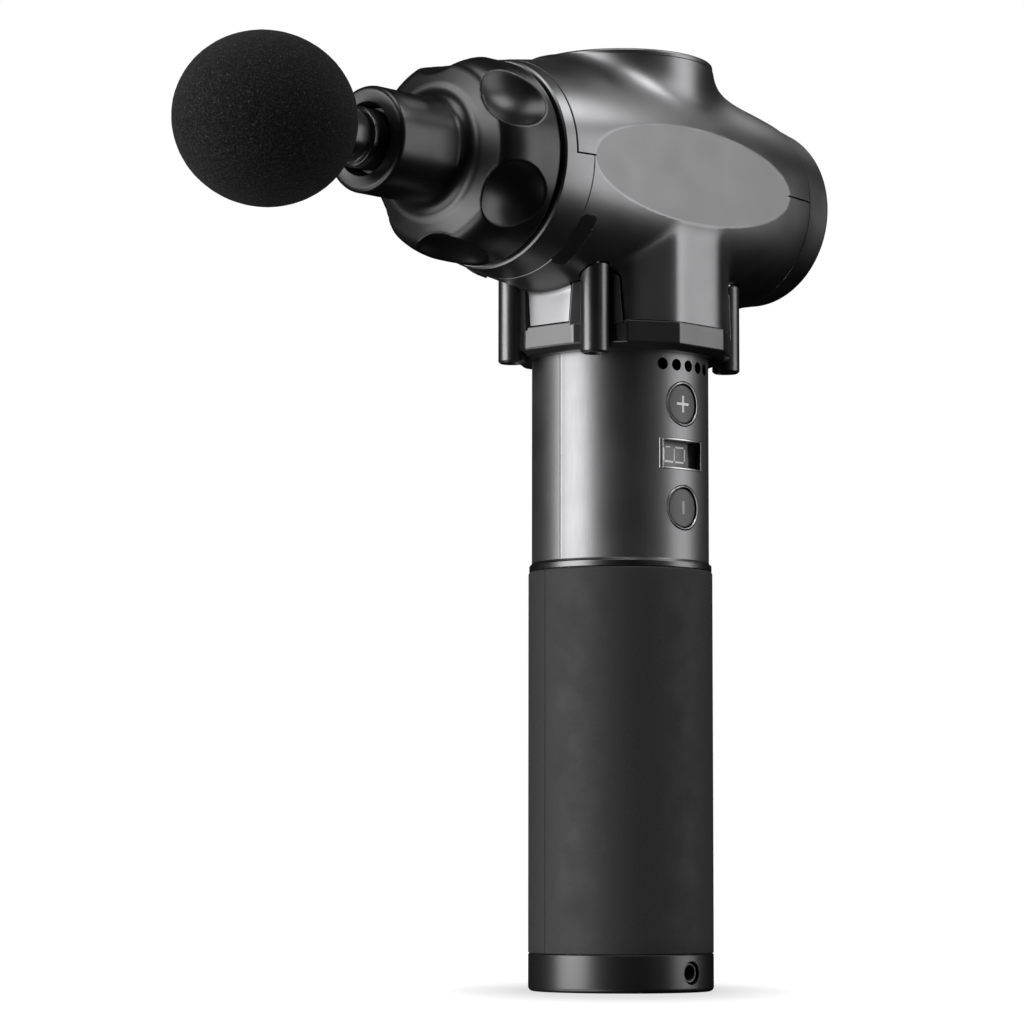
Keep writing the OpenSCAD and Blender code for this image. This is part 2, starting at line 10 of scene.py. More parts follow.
import bpy
import numpy as np
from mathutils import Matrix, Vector

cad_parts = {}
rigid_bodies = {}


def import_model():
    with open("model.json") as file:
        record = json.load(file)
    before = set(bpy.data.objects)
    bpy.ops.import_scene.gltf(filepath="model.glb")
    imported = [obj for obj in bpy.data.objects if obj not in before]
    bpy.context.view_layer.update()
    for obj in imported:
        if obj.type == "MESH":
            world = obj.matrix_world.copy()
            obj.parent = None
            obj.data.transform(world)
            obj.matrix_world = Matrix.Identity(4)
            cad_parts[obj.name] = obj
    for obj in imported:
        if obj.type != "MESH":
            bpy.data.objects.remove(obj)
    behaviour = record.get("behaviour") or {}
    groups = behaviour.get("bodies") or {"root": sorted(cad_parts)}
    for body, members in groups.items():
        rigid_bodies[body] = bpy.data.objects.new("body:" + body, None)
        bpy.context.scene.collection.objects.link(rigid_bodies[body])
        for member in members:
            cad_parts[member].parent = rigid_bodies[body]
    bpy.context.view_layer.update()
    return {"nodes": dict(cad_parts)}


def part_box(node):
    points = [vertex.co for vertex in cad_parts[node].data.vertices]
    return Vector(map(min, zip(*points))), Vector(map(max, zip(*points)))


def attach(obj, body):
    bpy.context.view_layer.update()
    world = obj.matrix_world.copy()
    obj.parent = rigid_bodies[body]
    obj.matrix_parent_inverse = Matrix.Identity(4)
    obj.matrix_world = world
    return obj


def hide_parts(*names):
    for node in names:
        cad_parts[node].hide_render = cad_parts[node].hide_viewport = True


for leftover in list(bpy.data.objects):
    bpy.data.objects.remove(leftover)
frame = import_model()

MM = 0.001


def low(node):
    """Lowest corner of a CAD node in millimetres."""
    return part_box(node)[0] / MM


def high(node):
    """Highest corner of a CAD node in millimetres."""
    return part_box(node)[1] / MM


# ---- driving sizes, in millimetres

GRIP_R = high("grip_sleeve").x
GRIP_TOP = high("grip_sleeve").z
TUBE_R = high("handle_tube").x
TUBE_WALL = 1.6
TUBE_TOP = high("handle_tube").z
FOOT_H = low("handle_tube").z - 0.05
STROKE_Z = (low("plunger").z + high("plunger").z) / 2
TOTAL_H = high("tower_cap").z
TOWER_R = high("tower_cap").x
FLAT_X = high("side_plate_right").x
SHELL_WALL = 2.2
SEAM_TOP = -low("upper_shell").y
SEAM_BOTTOM = -low("lower_shell").y
BARREL_REAR = -high("lower_shell").y
RING_FRONT = -low("front_ring").y
REAR_FACE = -high("rear_cap").y
NOSE_BACK = -high("nose_cap").y
NOSE_FACE = -low("nose_cap").y
COLLAR_Z = 160.2
NECK_Z = low("lower_shell").z - 0.05
PLUS_Z = (low("plus_button").z + high("plus_button").z) / 2
MINUS_Z = (low("minus_button").z + high("minus_button").z) / 2
WINDOW_Z = (low("display_lens").z + high("display_lens").z) / 2
BALL_R = 20.8
BALL_S = -low("foam_ball").y - BALL_R
CONTROLS_TURN = -3.5
WINDOW_W = 15.3
WINDOW_H = 7.9
VENT_Z = 157.3
VENT_R = 1.5
VENT_TURNS = [-20.3 + 10.7 * i for i in range(5)]
JACK_Z = 4.9
FOOT_SCREW_AT = 14

# Widest radius of the barrel, where it is along the stroke, and the two terms of its curve
BARREL_R = 30.2
BARREL_MID = 2.5
BARREL_BOW = 615
BARREL_ROUND = 1e-7

# Quarter of the neck's outline, seen from above
NECK_QUARTER = [(26.9, 8.6), (20.0, 20.0), (8.2, 27.0)]
COLLAR_QUARTER = [(27.6, 8.6), (20.2, 20.1), (8.2, 27.3)]

# Screw posts of the collar
POST_R = 3.55
POST_AT = 29.2
POST_TURN = 28.7
POST_LOW = 158.7
POST_HIGH = 182.5
ARM_TOP = 179

# Width of the gaps between the head's shells, ring and rear cap
SEAM = 0.44


def barrel_radius(s):
    """Radius of the barrel at a place along the stroke."""
    return BARREL_R - (s - BARREL_MID) ** 2 / BARREL_BOW - BARREL_ROUND * (s - BARREL_MID) ** 4


# ---- modelling helpers

def pick(*pieces):
    """Selects these pieces alone, the last of them active."""
    bpy.ops.object.select_all(action="DESELECT")
    for piece in pieces:
        piece.select_set(True)
    bpy.context.view_layer.objects.active = pieces[-1]


def edit(piece, kind="VERT"):
    """Starts editing one piece by its vertices, edges or faces."""
    pick(piece)
    bpy.ops.object.mode_set(mode="EDIT")
    bpy.ops.mesh.select_mode(type=kind)


def done():
    bpy.ops.object.mode_set(mode="OBJECT")


def choose(piece, kind, test):
    """Selects the vertices, edges or faces whose middle passes the test, and starts editing."""
    mesh = piece.data
    for group in (mesh.vertices, mesh.edges, mesh.polygons):
        group.foreach_set("select", [False] * len(group))
    if kind == "VERT":
        for vertex in mesh.vertices:
            vertex.select = test(vertex.co)
    elif kind == "EDGE":
        for edge in mesh.edges:
            first, second = (mesh.vertices[i].co for i in edge.vertices)
            edge.select = test((first + second) / 2, (second - first).normalized())
    else:
        for face in mesh.polygons:
            face.select = test(face.center, face.normal)
    edit(piece, kind)


def apply(piece, kind, **settings):
    """Adds a modifier with these settings and applies it."""
    pick(piece)
    modifier = piece.modifiers.new(kind.lower(), kind)
    for key, value in settings.items():
        setattr(modifier, key, value)
    bpy.ops.object.modifier_apply(modifier=modifier.name)


def bevel(piece, width, segments=2, angle=30):
    """Rounds the edges that turn by more than this many degrees."""
    apply(piece, "BEVEL", width=width, segments=segments, limit_method="ANGLE",
          angle_limit=math.radians(angle), use_clamp_overlap=True)


def round_along_x(piece, radius, segments, over=-1000):
    """Rounds the edges that run along X and lie over a height."""
    choose(piece, "EDGE", lambda middle, along: middle.z > over and abs(along.x) > 0.9)
    bpy.ops.mesh.bevel(offset=radius, segments=segments)
    done()


def combine(piece, tool, how):
    """Boolean of a piece with a tool, which is used up."""
    apply(piece, "BOOLEAN", operation=how, object=tool, solver="MANIFOLD")
    bpy.data.objects.remove(tool)
    return piece


def cut(piece, *tools):
    for tool in tools:
        combine(piece, tool, "DIFFERENCE")
    return piece


def unite(piece, *tools):
    for tool in tools:
        combine(piece, tool, "UNION")
    return piece


def copy_of(piece, name):
    """Second piece of the same shape, with its own mesh."""
    twin = piece.copy()
    twin.data = piece.data.copy()
    twin.name = name
    bpy.context.scene.collection.objects.link(twin)
    return twin


def joined(name, pieces):
    """Joins pieces into the last of them, under this name."""
    pick(*pieces)
    bpy.ops.object.join()
    pieces[-1].name = name
    return pieces[-1]


def begin(name, primitive, **settings):
    """Adds a primitive, selected alone, under this name."""
    bpy.ops.object.select_all(action="DESELECT")
    primitive(**settings)
    piece = bpy.context.object
    piece.name = name
    return piece


def keep_place():
    """Makes the picked piece's place, turn and scale part of its mesh."""
    bpy.ops.object.transform_apply(location=True, rotation=True, scale=True)


def face_outwards():
    """Turns all faces of the piece in editing outwards and ends its editing."""
    bpy.ops.mesh.select_all(action="SELECT")
    bpy.ops.mesh.normals_make_consistent(inside=False)
    done()


def place(piece, move=(0, 0, 0), turn=(0, 0, 0)):
    """Turns a piece by degrees about X, Y and Z, moves it and makes that its mesh."""
    pick(piece)
    piece.rotation_euler = [math.radians(a) for a in turn]
    piece.location = move
    keep_place()
    return piece


def on_stroke(piece):
    """Lays a piece built along +Z on the stroke axis, +Z forward."""
    return place(piece, move=(0, 0, STROKE_Z), turn=(90, 0, 0))


def on_controls(piece, z=0):
    """Lifts a piece built on the +X side and turns it to the controls."""
    return place(piece, move=(0, 0, z), turn=(0, 0, CONTROLS_TURN))


def block(name, size, middle):
    """Plain block, the start or the cutter of other shapes."""
    piece = begin(name, bpy.ops.mesh.primitive_cube_add, size=1, location=middle)
    piece.scale = size
    keep_place()
    return piece


def rod(name, radius, foot, top, steps=64):
    """Round bar between two heights."""
    piece = begin(name, bpy.ops.mesh.primitive_cylinder_add, vertices=steps, radius=radius,
                  depth=top - foot, location=(0, 0, (foot + top) / 2))
    keep_place()
    return piece


def extrude_up(rise):
    """Extrudes what is selected along Z."""
    bpy.ops.mesh.extrude_region_move(TRANSFORM_OT_translate={"value": (0, 0, rise)})


def widen(share, height):
    """Scales what is selected about the Z axis, at this height."""
    bpy.ops.transform.resize(value=(share, share, 1), center_override=(0, 0, height))


def turned(name, outline, steps=128, ring=False):
    """Turned piece about Z: a disc, or for a ring a bare circle, is extruded and resized along the
    outline's (radius, height) points."""
    radius, height = outline[0]
    piece = begin(name, bpy.ops.mesh.primitive_circle_add, vertices=steps, radius=radius,
                  location=(0, 0, height), fill_type="NOTHING" if ring else "NGON")
    keep_place()
    edit(piece, "EDGE" if ring else "FACE")
    bpy.ops.mesh.select_all(action="SELECT")
    for next_radius, next_height in outline[1:] + (outline[:1] if ring else []):
        extrude_up(next_height - height)
        widen(next_radius / radius, next_height)
        radius, height = next_radius, next_height
    bpy.ops.mesh.select_all(action="SELECT")
    bpy.ops.mesh.remove_doubles(threshold=0.0005)
    face_outwards()
    return piece


def arc(middle_r, middle_z, radius, start, end, points=6, tall=None):
    """Points of an arc in an outline, from one angle in degrees to another."""
    tall = radius if tall is None else tall
    turns = [math.radians(start + (end - start) * i / (points - 1)) for i in range(points)]
    return [(middle_r + radius * math.cos(a), middle_z + tall * math.sin(a)) for a in turns]


def full_outline(quarter):
    """All twelve corners of the neck's outline from its quarter."""
    right = quarter + [(-x, y) for x, y in reversed(quarter)]
    return right + [(x, -y) for x, y in reversed(right)]


def between(start, end, parts):
    """Points that split the line from start to end, without its ends."""
    return [(start[0] + (end[0] - start[0]) * i / parts, start[1] + (end[1] - start[1]) * i / parts)
            for i in range(1, parts)]


def prism(name, quarter, levels):
    """Twelve-sided prism: the outline at each (height, inset) level."""
    piece = begin(name, bpy.ops.mesh.primitive_circle_add, vertices=12, radius=1, fill_type="NGON")
    for vertex, (x, y) in zip(piece.data.vertices, full_outline(quarter)):
        vertex.co = (x, y, levels[0][0])
    reach = quarter[0][0]
    edit(piece, "FACE")
    bpy.ops.mesh.select_all(action="SELECT")
    widen((reach - levels[0][1]) / reach, levels[0][0])
    for (height, inset), (next_height, next_inset) in zip(levels, levels[1:]):
        extrude_up(next_height - height)
        widen((reach - next_inset) / (reach - inset), next_height)
    face_outwards()
    return piece


def points_of(piece):
    """A piece's points as rows of X, Y and Z."""
    flat = np.empty(len(piece.data.vertices) * 3, np.float64)
    piece.data.vertices.foreach_get("co", flat)
    return flat.reshape(-1, 3)


def move_points(piece, points):
    piece.data.vertices.foreach_set("co", points.astype(np.float32).ravel())
    piece.data.update()


def slice_across(piece, start, end, parts):
    """Splits a block into strips along Y, so that it can follow a curve."""
    edit(piece)
    for i in range(1, parts):
        bpy.ops.mesh.select_all(action="SELECT")
        bpy.ops.mesh.bisect(plane_co=(0, start + (end - start) * i / parts, 0), plane_no=(0, 1, 0))
    done()


def wrap_on_tube(piece):
    """Bends a piece, flat as drawn with X as its height over the surface, round the tube."""
    points = points_of(piece)
    points[:, 0] = np.sqrt((TUBE_R + points[:, 0]) ** 2 - points[:, 1] ** 2)
    move_points(piece, points)
    return piece


def finish_piece(piece, body, finish, replaced=(), smooth=30, even=False):
    """Brings a done piece to metres, shades it, gives it its finish and lets it ride."""
    pick(piece)
    piece.scale = (MM, MM, MM)
    keep_place()
    bpy.ops.object.shade_smooth_by_angle(angle=math.radians(smooth))
    if even:
        apply(piece, "WEIGHTED_NORMAL", keep_sharp=True, weight=80)
    piece.data.materials.clear()
    piece.data.materials.append(finish)
    piece.data.name = piece.name
    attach(piece, body)
    if replaced:
        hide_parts(*replaced)
    return piece


# ---- finishes

def new_finish(name, **sockets):
    """A material whose even values sit on the shader's own sockets."""
    material = bpy.data.materials.new(name)
    material.use_nodes = True
    shader = material.node_tree.nodes["Principled BSDF"]
    for key, value in sockets.items():
        shader.inputs[key.replace("_", " ")].default_value = value
    return material, shader


def grey(value, blue=1.0):
    return (value, value, value * blue, 1)


def noise(tree, where, scale, detail=2.0, roughness=0.5):
    """Noise with this many waves to the metre."""
    node = tree.nodes.new("ShaderNodeTexNoise")
    node.inputs["Scale"].default_value = scale
    node.inputs["Detail"].default_value = detail
    node.inputs["Roughness"].default_value = roughness
    tree.links.new(where, node.inputs["Vector"])
    return node.outputs["Fac"]


def spread(tree, value, low_value, high_value, start=0.3, end=0.7):
    """Maps a noise value from start..end to low..high."""
    node = tree.nodes.new("ShaderNodeMapRange")
    node.inputs["From Min"].default_value = start
    node.inputs["From Max"].default_value = end
    node.inputs["To Min"].default_value = low_value
    node.inputs["To Max"].default_value = high_value
    tree.links.new(value, node.inputs["Value"])
    return node.outputs["Result"]


def tint(tree, value, dark, light, shader):
    """Colour between two greys or tints, by a value."""
    node = tree.nodes.new("ShaderNodeMix")
    node.data_type = "RGBA"
    node.inputs["A"].default_value = dark
    node.inputs["B"].default_value = light
    tree.links.new(value, node.inputs["Factor"])
    tree.links.new(node.outputs["Result"], shader.inputs["Base Color"])


def bump(tree, value, shader, strength, distance):
    """Raises the surface by a value, over this distance in metres."""
    node = tree.nodes.new("ShaderNodeBump")
    node.inputs["Strength"].default_value = strength
    node.inputs["Distance"].default_value = distance
    tree.links.new(value, node.inputs["Height"])
    tree.links.new(node.outputs["Normal"], shader.inputs["Normal"])


def coordinates(tree, stretch=(1, 1, 1)):
    """Object coordinates, stretched where a pattern runs one way."""
    source = tree.nodes.new("ShaderNodeTexCoord")
    mapping = tree.nodes.new("ShaderNodeMapping")
    mapping.inputs["Scale"].default_value = stretch
    tree.links.new(source.outputs["Object"], mapping.inputs["Vector"])
    return mapping.outputs["Vector"]


def moulded(name, dark, light, rough, grain=2600, depth=0.00002, strength=0.25, blue=1.0, **sockets):
    """Moulded or coated surface: slow tone variation, patchy gloss and a fine grain."""
    material, shader = new_finish(name, **sockets)
    tree = material.node_tree
    where = coordinates(tree)
    tint(tree, spread(tree, noise(tree, where, 38, 3), 0, 1), grey(dark, blue), grey(light, blue), shader)
    tree.links.new(spread(tree, noise(tree, where, 120, 4), rough[0], rough[1]), shader.inputs["Roughness"])
    bump(tree, noise(tree, where, grain, 2), shader, strength, depth)
    return material


def drawn_metal(name, dark, light, rough, stretch=(1, 1, 0.04), grain=4200, strength=0.2, **sockets):
    """Metal with fine draw lines along one axis."""
    material, shader = new_finish(name, Metallic=1.0, **sockets)
    tree = material.node_tree
    lines = noise(tree, coordinates(tree, stretch), grain, 3)
    tint(tree, spread(tree, lines, 0, 1), dark, light, shader)
    tree.links.new(spread(tree, noise(tree, coordinates(tree), 90, 3), rough[0], rough[1]),
                   shader.inputs["Roughness"])
    bump(tree, lines, shader, strength, 0.00001)
    return material


def foam_finish():
    """Dense black foam skin: short curled fibres with lighter tips and a few bright flecks."""
    material, shader = new_finish("foam_skin", Roughness=0.95, Sheen_Weight=0.05, Sheen_Roughness=0.5,
                                  Sheen_Tint=grey(0.5), Specular_IOR_Level=0.1)
    tree = material.node_tree
    where = coordinates(tree)
    fibre = noise(tree, where, 1900, 4, 0.72)
    tips = spread(tree, fibre, 0, 0.34, 0.46, 0.76)
    fleck = spread(tree, noise(tree, where, 2300, 2, 0.5), 0, 1.0, 0.66, 0.74)
    both = tree.nodes.new("ShaderNodeMath")
    both.operation = "MAXIMUM"
    tree.links.new(tips, both.inputs[0])
    tree.links.new(fleck, both.inputs[1])
    tint(tree, both.outputs["Value"], grey(0.0025), grey(0.062), shader)
    bump(tree, fibre, shader, 0.9, 0.0003)
    return material


def rubber_finish():
    """Matt grip rubber with a close sanded texture."""
    material, shader = new_finish("grip_rubber", Specular_IOR_Level=0.28)
    tree = material.node_tree
    where = coordinates(tree)
    fine = noise(tree, where, 3200, 3, 0.65)
    tint(tree, spread(tree, fine, 0, 1), grey(0.010), grey(0.018), shader)
    tree.links.new(spread(tree, noise(tree, where, 150, 3), 0.62, 0.74), shader.inputs["Roughness"])
    bump(tree, fine, shader, 0.5, 0.00006)
    return material


FINISH = {
    "housing": moulded("housing_plastic", 0.140, 0.155, (0.33, 0.38), Metallic=1.0, blue=1.02),
    "nose": moulded("nose_plastic", 0.030, 0.037, (0.29, 0.35), Metallic=0.9),
    # Near-black seal rubber; on the flush pads behind the front ring the same finish is painted shade.
    "seal": moulded("seal_rubber", 0.004, 0.007, (0.6, 0.75), Specular_IOR_Level=0.1),
    "plate": moulded("side_plate_plastic", 0.118, 0.130, (0.36, 0.41), Metallic=1.0, blue=1.02),
    "collar": moulded("collar_plastic", 0.070, 0.084, (0.28, 0.34), Metallic=0.9),
    "screw": drawn_metal("screw_steel", grey(0.32), grey(0.46), (0.28, 0.4), stretch=(1, 1, 1)),
    "tube": drawn_metal("gunmetal_tube", grey(0.132, 1.02), grey(0.150, 1.02), (0.39, 0.43), strength=0.08),
    "trim": moulded("gloss_trim", 0.045, 0.050, (0.34, 0.36), depth=0.000004, strength=0.06, Metallic=0.9),
    "ring": moulded("ring_metal", 0.085, 0.100, (0.30, 0.34), depth=0.000004, strength=0.06, Metallic=1.0),
    "rubber": rubber_finish(),
    "black": moulded("black_plastic", 0.022, 0.030, (0.36, 0.44)),
    "copper": moulded("coated_wire", 0.25, 0.3, (0.35, 0.45)),
    "bezel": moulded("bezel_metal", 0.30, 0.36, (0.28, 0.34), depth=0.000002, strength=0.05, Metallic=1.0),
    "window": moulded("display_window", 0.006, 0.009, (0.06, 0.12), depth=0.000002, strength=0.05),
    "panel": moulded("display_panel", 0.085, 0.1, (0.35, 0.45)),
    "print": moulded("printed_marks", 0.74, 0.80, (0.45, 0.55)),
    "faint_print": moulded("faint_marks", 0.30, 0.34, (0.45, 0.55)),
    "board": moulded("circuit_board", 0.05, 0.08, (0.35, 0.45)),
    "wrap": moulded("cell_wrap", 0.08, 0.12, (0.25, 0.35)),
    "cast": moulded("cast_aluminium", 0.42, 0.5, (0.45, 0.6), Metallic=1.0),
    "bearing": drawn_metal("bearing_steel", grey(0.5), grey(0.6), (0.15, 0.25), stretch=(1, 1, 1)),
    "core": drawn_metal("core_steel", grey(0.16), grey(0.22), (0.35, 0.5), stretch=(0.1, 0.1, 1)),
    "bronze": moulded("bronze", 0.3, 0.36, (0.3, 0.42), Metallic=1.0, blue=0.45),
    "plunger": moulded("plunger_metal", 0.02, 0.03, (0.3, 0.4), Metallic=0.8),
    "stem": moulded("stem_plastic", 0.006, 0.010, (0.2, 0.27), depth=0.000008, strength=0.15),
    "foam": foam_finish(),
    "button": moulded("button_plastic", 0.040, 0.048, (0.42, 0.5)),
}


# ---- head housing

def tower_distance(p):
    """Distance of points to the motor tower's round wall."""
    return np.hypot(p[:, 0], p[:, 1]) - TOWER_R


def barrel_distance(p):
    """Distance of points to the barrel's skin, square to the stroke."""
    return np.hypot(p[:, 0], p[:, 2] - STROKE_Z) - barrel_radius(-p[:, 1])


def neck_distance(p):
    """Distance to the neck's twelve side faces, with its upright edges softened."""
    corners = np.array(full_outline(NECK_QUARTER))
    sides = np.roll(corners, -1, axis=0) - corners
    normals = np.stack([sides[:, 1], -sides[:, 0]], axis=1)
    normals /= np.linalg.norm(normals, axis=1)[:, None]
    middles = corners + sides / 2
    if (normals[0] @ middles[0]) < 0:
        normals = -normals
    soft = 0.55
    away = p[:, :2] @ normals.T - np.sum(normals * corners, axis=1)
    most = away.max(axis=1)
    walls = most + soft * np.log(np.exp((away - most[:, None]) / soft).sum(axis=1))
    return np.maximum(walls, p[:, 2] - (STROKE_Z - 8))


def soft_join(a, b, reach):
    """Smaller of two distances, rounded where they are close."""
    near = np.clip(reach - np.abs(a - b), 0, None) / reach
    return np.minimum(a, b) - near ** 3 * reach / 6


SIDE_BLEND = 5
SWEEP_BLEND = 14
NECK_BLEND = 2.2


def head_distance(p):
    """Distance to the head's skin; the tower sweeps widely into the barrel fore and aft only."""
    fore_aft = p[:, 1] ** 2 / np.clip(p[:, 0] ** 2 + p[:, 1] ** 2, 1, None)
    above = np.where(p[:, 2] > STROKE_Z, tower_distance(p), 60)
    skin = soft_join(barrel_distance(p), above, SIDE_BLEND + SWEEP_BLEND * fore_aft)
    return soft_join(skin, neck_distance(p), NECK_BLEND)


def settle(piece, inset, rounds=6):
    """Moves a blank's skin onto the head's blended surface, leaving its flat ends where they are."""
    points = points_of(piece)
    free = (points[:, 2] < TOTAL_H + 1.5) & (points[:, 2] > NECK_Z - 2) & (np.abs(points[:, 1] + 1.0) < 50)
    moving = points[free]
    step = 0.01
    for _ in range(rounds):
        here = head_distance(moving) + inset
        slope = np.stack([(head_distance(moving + d) - head_distance(moving - d)) / (2 * step)
                          for d in np.eye(3) * step], axis=1)
        length = np.clip((slope ** 2).sum(axis=1), 0.3, None)
        moving = moving - np.clip(here / length, -1.5, 1.5)[:, None] * slope
    points[free] = moving
    move_points(piece, points)


def head_blank(name, inset, size):
    """Barrel, tower and neck remeshed as one skin and settled on the blended surface."""
    ends = np.linspace(-52, 54, 40)
    barrel = on_stroke(turned("barrel_blank", [(barrel_radius(s) - inset, s) for s in ends], 96))
    tower = rod("tower_blank", TOWER_R - inset, STROKE_Z - 5, TOTAL_H + 3, 96)
    neck = prism("neck_blank", NECK_QUARTER, [(NECK_Z - 3, inset), (STROKE_Z - 9, inset)])
    joined(name, [tower, neck, barrel])
    for voxel in (1.0, size):
        barrel.data.remesh_voxel_size = voxel
        pick(barrel)
        bpy.ops.object.voxel_remesh()
        settle(barrel, inset)
    return barrel


def barrel_groove(s, depth):
    """V-shaped ring that breaks the edges of a seam round the barrel."""
    radius = barrel_radius(s)
    outline = [(radius - depth, s), (radius + 1.5, s - 1.2), (radius + 1.5, s + 1.2)]
    return on_stroke(turned("groove", outline, 192, ring=True))


# Pads of painted shade behind the front ring, and their pockets: their size, their corners, and where they
# lie round the barrel in degrees
PAD_WIDTH = 5.2
PAD_LENGTH = 17.0
PAD_CORNER = 1.6
PAD_TURN = -47


def shade_pad(name, side, shrink, floor, top=3.0):
    """Round-cornered pad curved to the barrel behind the front ring, or its pocket, from floor to top."""
    width, length = PAD_WIDTH - 2 * shrink, PAD_LENGTH - 2 * shrink
    pad = block(name, (top + floor, length, width), (0, 0, 0))
    round_along_x(pad, PAD_CORNER - shrink, 6)
    slice_across(pad, -length / 2, length / 2, 28)
    points = points_of(pad)
    s = SEAM_BOTTOM - 2.4 + points[:, 2]
    radius = barrel_radius(s) + (top - floor) / 2 + points[:, 0]
    angle = math.radians(PAD_TURN) + points[:, 1] / 29
    moved = np.stack([side * radius * np.cos(angle), -s, STROKE_Z + radius * np.sin(angle)], axis=1)
    move_points(pad, moved)
    edit(pad)
    face_outwards()
    return pad


def painted_shade_pads():
    """Near-black pad on each side, flush in its pocket; its dark finish is painted shade that stands in for
    a shaded recess behind the front ring.
    """
    for side, word in ((1, "right"), (-1, "left")):
        pad = shade_pad(f"shade_pad_{word}", side, 0.1, 0.85, top=0.0)
        bevel(pad, 0.1, 2, 50)
        # Painted shade: the near-black seal finish on the flush pad stands in for the shade of a recess.
        finish_piece(pad, "housing", FINISH["seal"])


def post_place(turn):
    """Centre of a screw post, by degrees about the handle from -Y."""
    angle = math.radians(turn)
    return Vector((math.sin(angle) * POST_AT, -math.cos(angle) * POST_AT, 0))


POST_TURNS = [POST_TURN, -POST_TURN, 180 - POST_TURN, 180 + POST_TURN]


def arm(name, turn, grow=0.0, foot=NECK_Z - 1):
    """One tapering plate of the collar, outside the neck, round at its two top corners."""
    foot_w, head_w, inner, outer = 6.9 + grow, 5.9 + grow, 23.95 - grow, 28.0 + grow
    piece = block(name, (outer - inner, 2 * foot_w, ARM_TOP + grow - foot),
                  ((inner + outer) / 2, 0, (foot + ARM_TOP + grow) / 2))
    for vertex in piece.data.vertices:
        if vertex.co.z > foot + 1:
            vertex.co.y *= head_w / foot_w
    round_along_x(piece, 1.3 + grow, 5, over=foot + 1)
    if not grow:
        bevel(piece, 0.3, 2, 40)
    return place(piece, turn=(0, 0, turn - 90))


def post(name, turn, grow=0.0):
    """Round screw post of the collar, or its pocket when it grows."""
    outline = [(POST_R - 0.5 + grow, POST_LOW - grow), (POST_R + grow, POST_LOW + 0.5 - grow),
               (POST_R + grow, POST_HIGH - 1.5 + grow), (POST_R - 1.2 + grow, POST_HIGH + grow)]
    return place(turned(name, outline, 64), move=post_place(turn))


def half_space(name, up, split):
    """Large block over or under the parting plane."""
    tall = 80
    middle = split + (tall / 2 if up else -tall / 2)
    return block(name, (120, 200, tall), (0, 0, middle))


def head_shells():
    """Upper and lower shell from one blended skin, hollow, split at the parting plane."""
    skin = head_blank("upper_shell", 0, 0.52)
    hollow = head_blank("hollow", SHELL_WALL, 0.9)
    for side in (-1, 1):
        cut(hollow, block("hollow_side", (20, 160, 120), (side * (FLAT_X - 2.6 + 10), 0, STROKE_Z)))
        cut(skin, block("flat_cut", (20, 160, 120), (side * (FLAT_X + 10), 0, STROKE_Z)))
    cut(skin, hollow)
    cut(skin, block("rear_cut", (90, 30, 90), (0, -BARREL_REAR + 15, STROKE_Z)))
    cut(skin, barrel_groove(BARREL_REAR - SEAM / 2, 0.45))
    for side in (-1, 1):
        cut(skin, plate_blank("plate_seat", side, 0.01))
    lower = copy_of(skin, "lower_shell")
    cut(skin, half_space("under", False, STROKE_Z + SEAM / 2))
    cut(skin, block("front_cut", (90, 30, 90), (0, -SEAM_TOP - 15, STROKE_Z)))
    cut(skin, barrel_groove(SEAM_TOP + SEAM / 2, 0.4))
    cut(skin, block("top_cut", (80, 80, 20), (0, 0, TOTAL_H - 1.55 + 10)))
    cut(lower, half_space("over", True, STROKE_Z - SEAM / 2))
    cut(lower, block("front_cut", (90, 30, 90), (0, -SEAM_BOTTOM - 15, STROKE_Z)))
    cut(lower, block("foot_cut", (80, 80, 20), (0, 0, NECK_Z + 0.15 - 10)))
    cut(lower, barrel_groove(SEAM_BOTTOM + 0.05, 0.15))
    for side in (-1, 1):
        cut(lower, shade_pad("pocket", side, 0, 0.9))
    for turn in POST_TURNS:
        cut(lower, arm("arm_pocket", turn, 0.4), post("post_pocket", turn, 0.3))
    finish_piece(skin, "housing", FINISH["housing"], ["upper_shell"])
    finish_piece(lower, "housing", FINISH["housing"], ["lower_shell"])


PLATE_LONG = 37.5
PLATE_H = 11.9
PLATE_T = 1.2


def plate_blank(name, side, grow=0.0):
    """Oval plate whose face lies in the side flat's plane, or its seat when it grows."""
    piece = begin(name, bpy.ops.mesh.primitive_circle_add, vertices=160, radius=1, fill_type="NGON")
    piece.scale = (PLATE_H + grow, PLATE_LONG + grow, 1)
    keep_place()
    edit(piece, "FACE")
    bpy.ops.mesh.select_all(action="SELECT")
    extrude_up(PLATE_T + (4 if grow else 0))
    face_outwards()
    place(piece, turn=(0, side * 90, 0))
    return place(piece, move=(side * (FLAT_X - PLATE_T), -BARREL_MID, STROKE_Z))


def side_plates():
    """Grey oval plate in the flat on each side."""
    for side, word in ((1, "right"), (-1, "left")):
        plate = plate_blank(f"side_plate_{word}", side)
        finish_piece(plate, "housing", FINISH["plate"], [f"side_plate_{word}"])


def front_ring():
    """Ring between shells and nose; its upper half starts further forward."""
    back = SEAM_BOTTOM + 0.1
    along = [back + 0.1 + (RING_FRONT - 0.5 - back) * i / 8 for i in range(9)]
    outer = [(barrel_radius(s) - 0.05, s) for s in along]
    lip = barrel_radius(RING_FRONT) - 0.4
    outline = ([(barrel_radius(back) - 0.15, back)] + outer
               + [(lip + 0.15, RING_FRONT - 0.15), (lip, RING_FRONT), (24.6, RING_FRONT),
                  (24.2, RING_FRONT - 0.4), (14.2, RING_FRONT - 0.4), (14.2, 45.2), (23.2, 45.2),
                  (23.2, back)])
    ring = on_stroke(turned("front_ring", outline, 224, ring=True))
    step = block("step", (90, SEAM_TOP + SEAM - back + 5, 60),
                 (0, -(back - 5 + SEAM_TOP + SEAM) / 2, STROKE_Z - SEAM / 2 + 30))
    cut(ring, step)
    finish_piece(ring, "housing", FINISH["housing"], ["front_ring"])


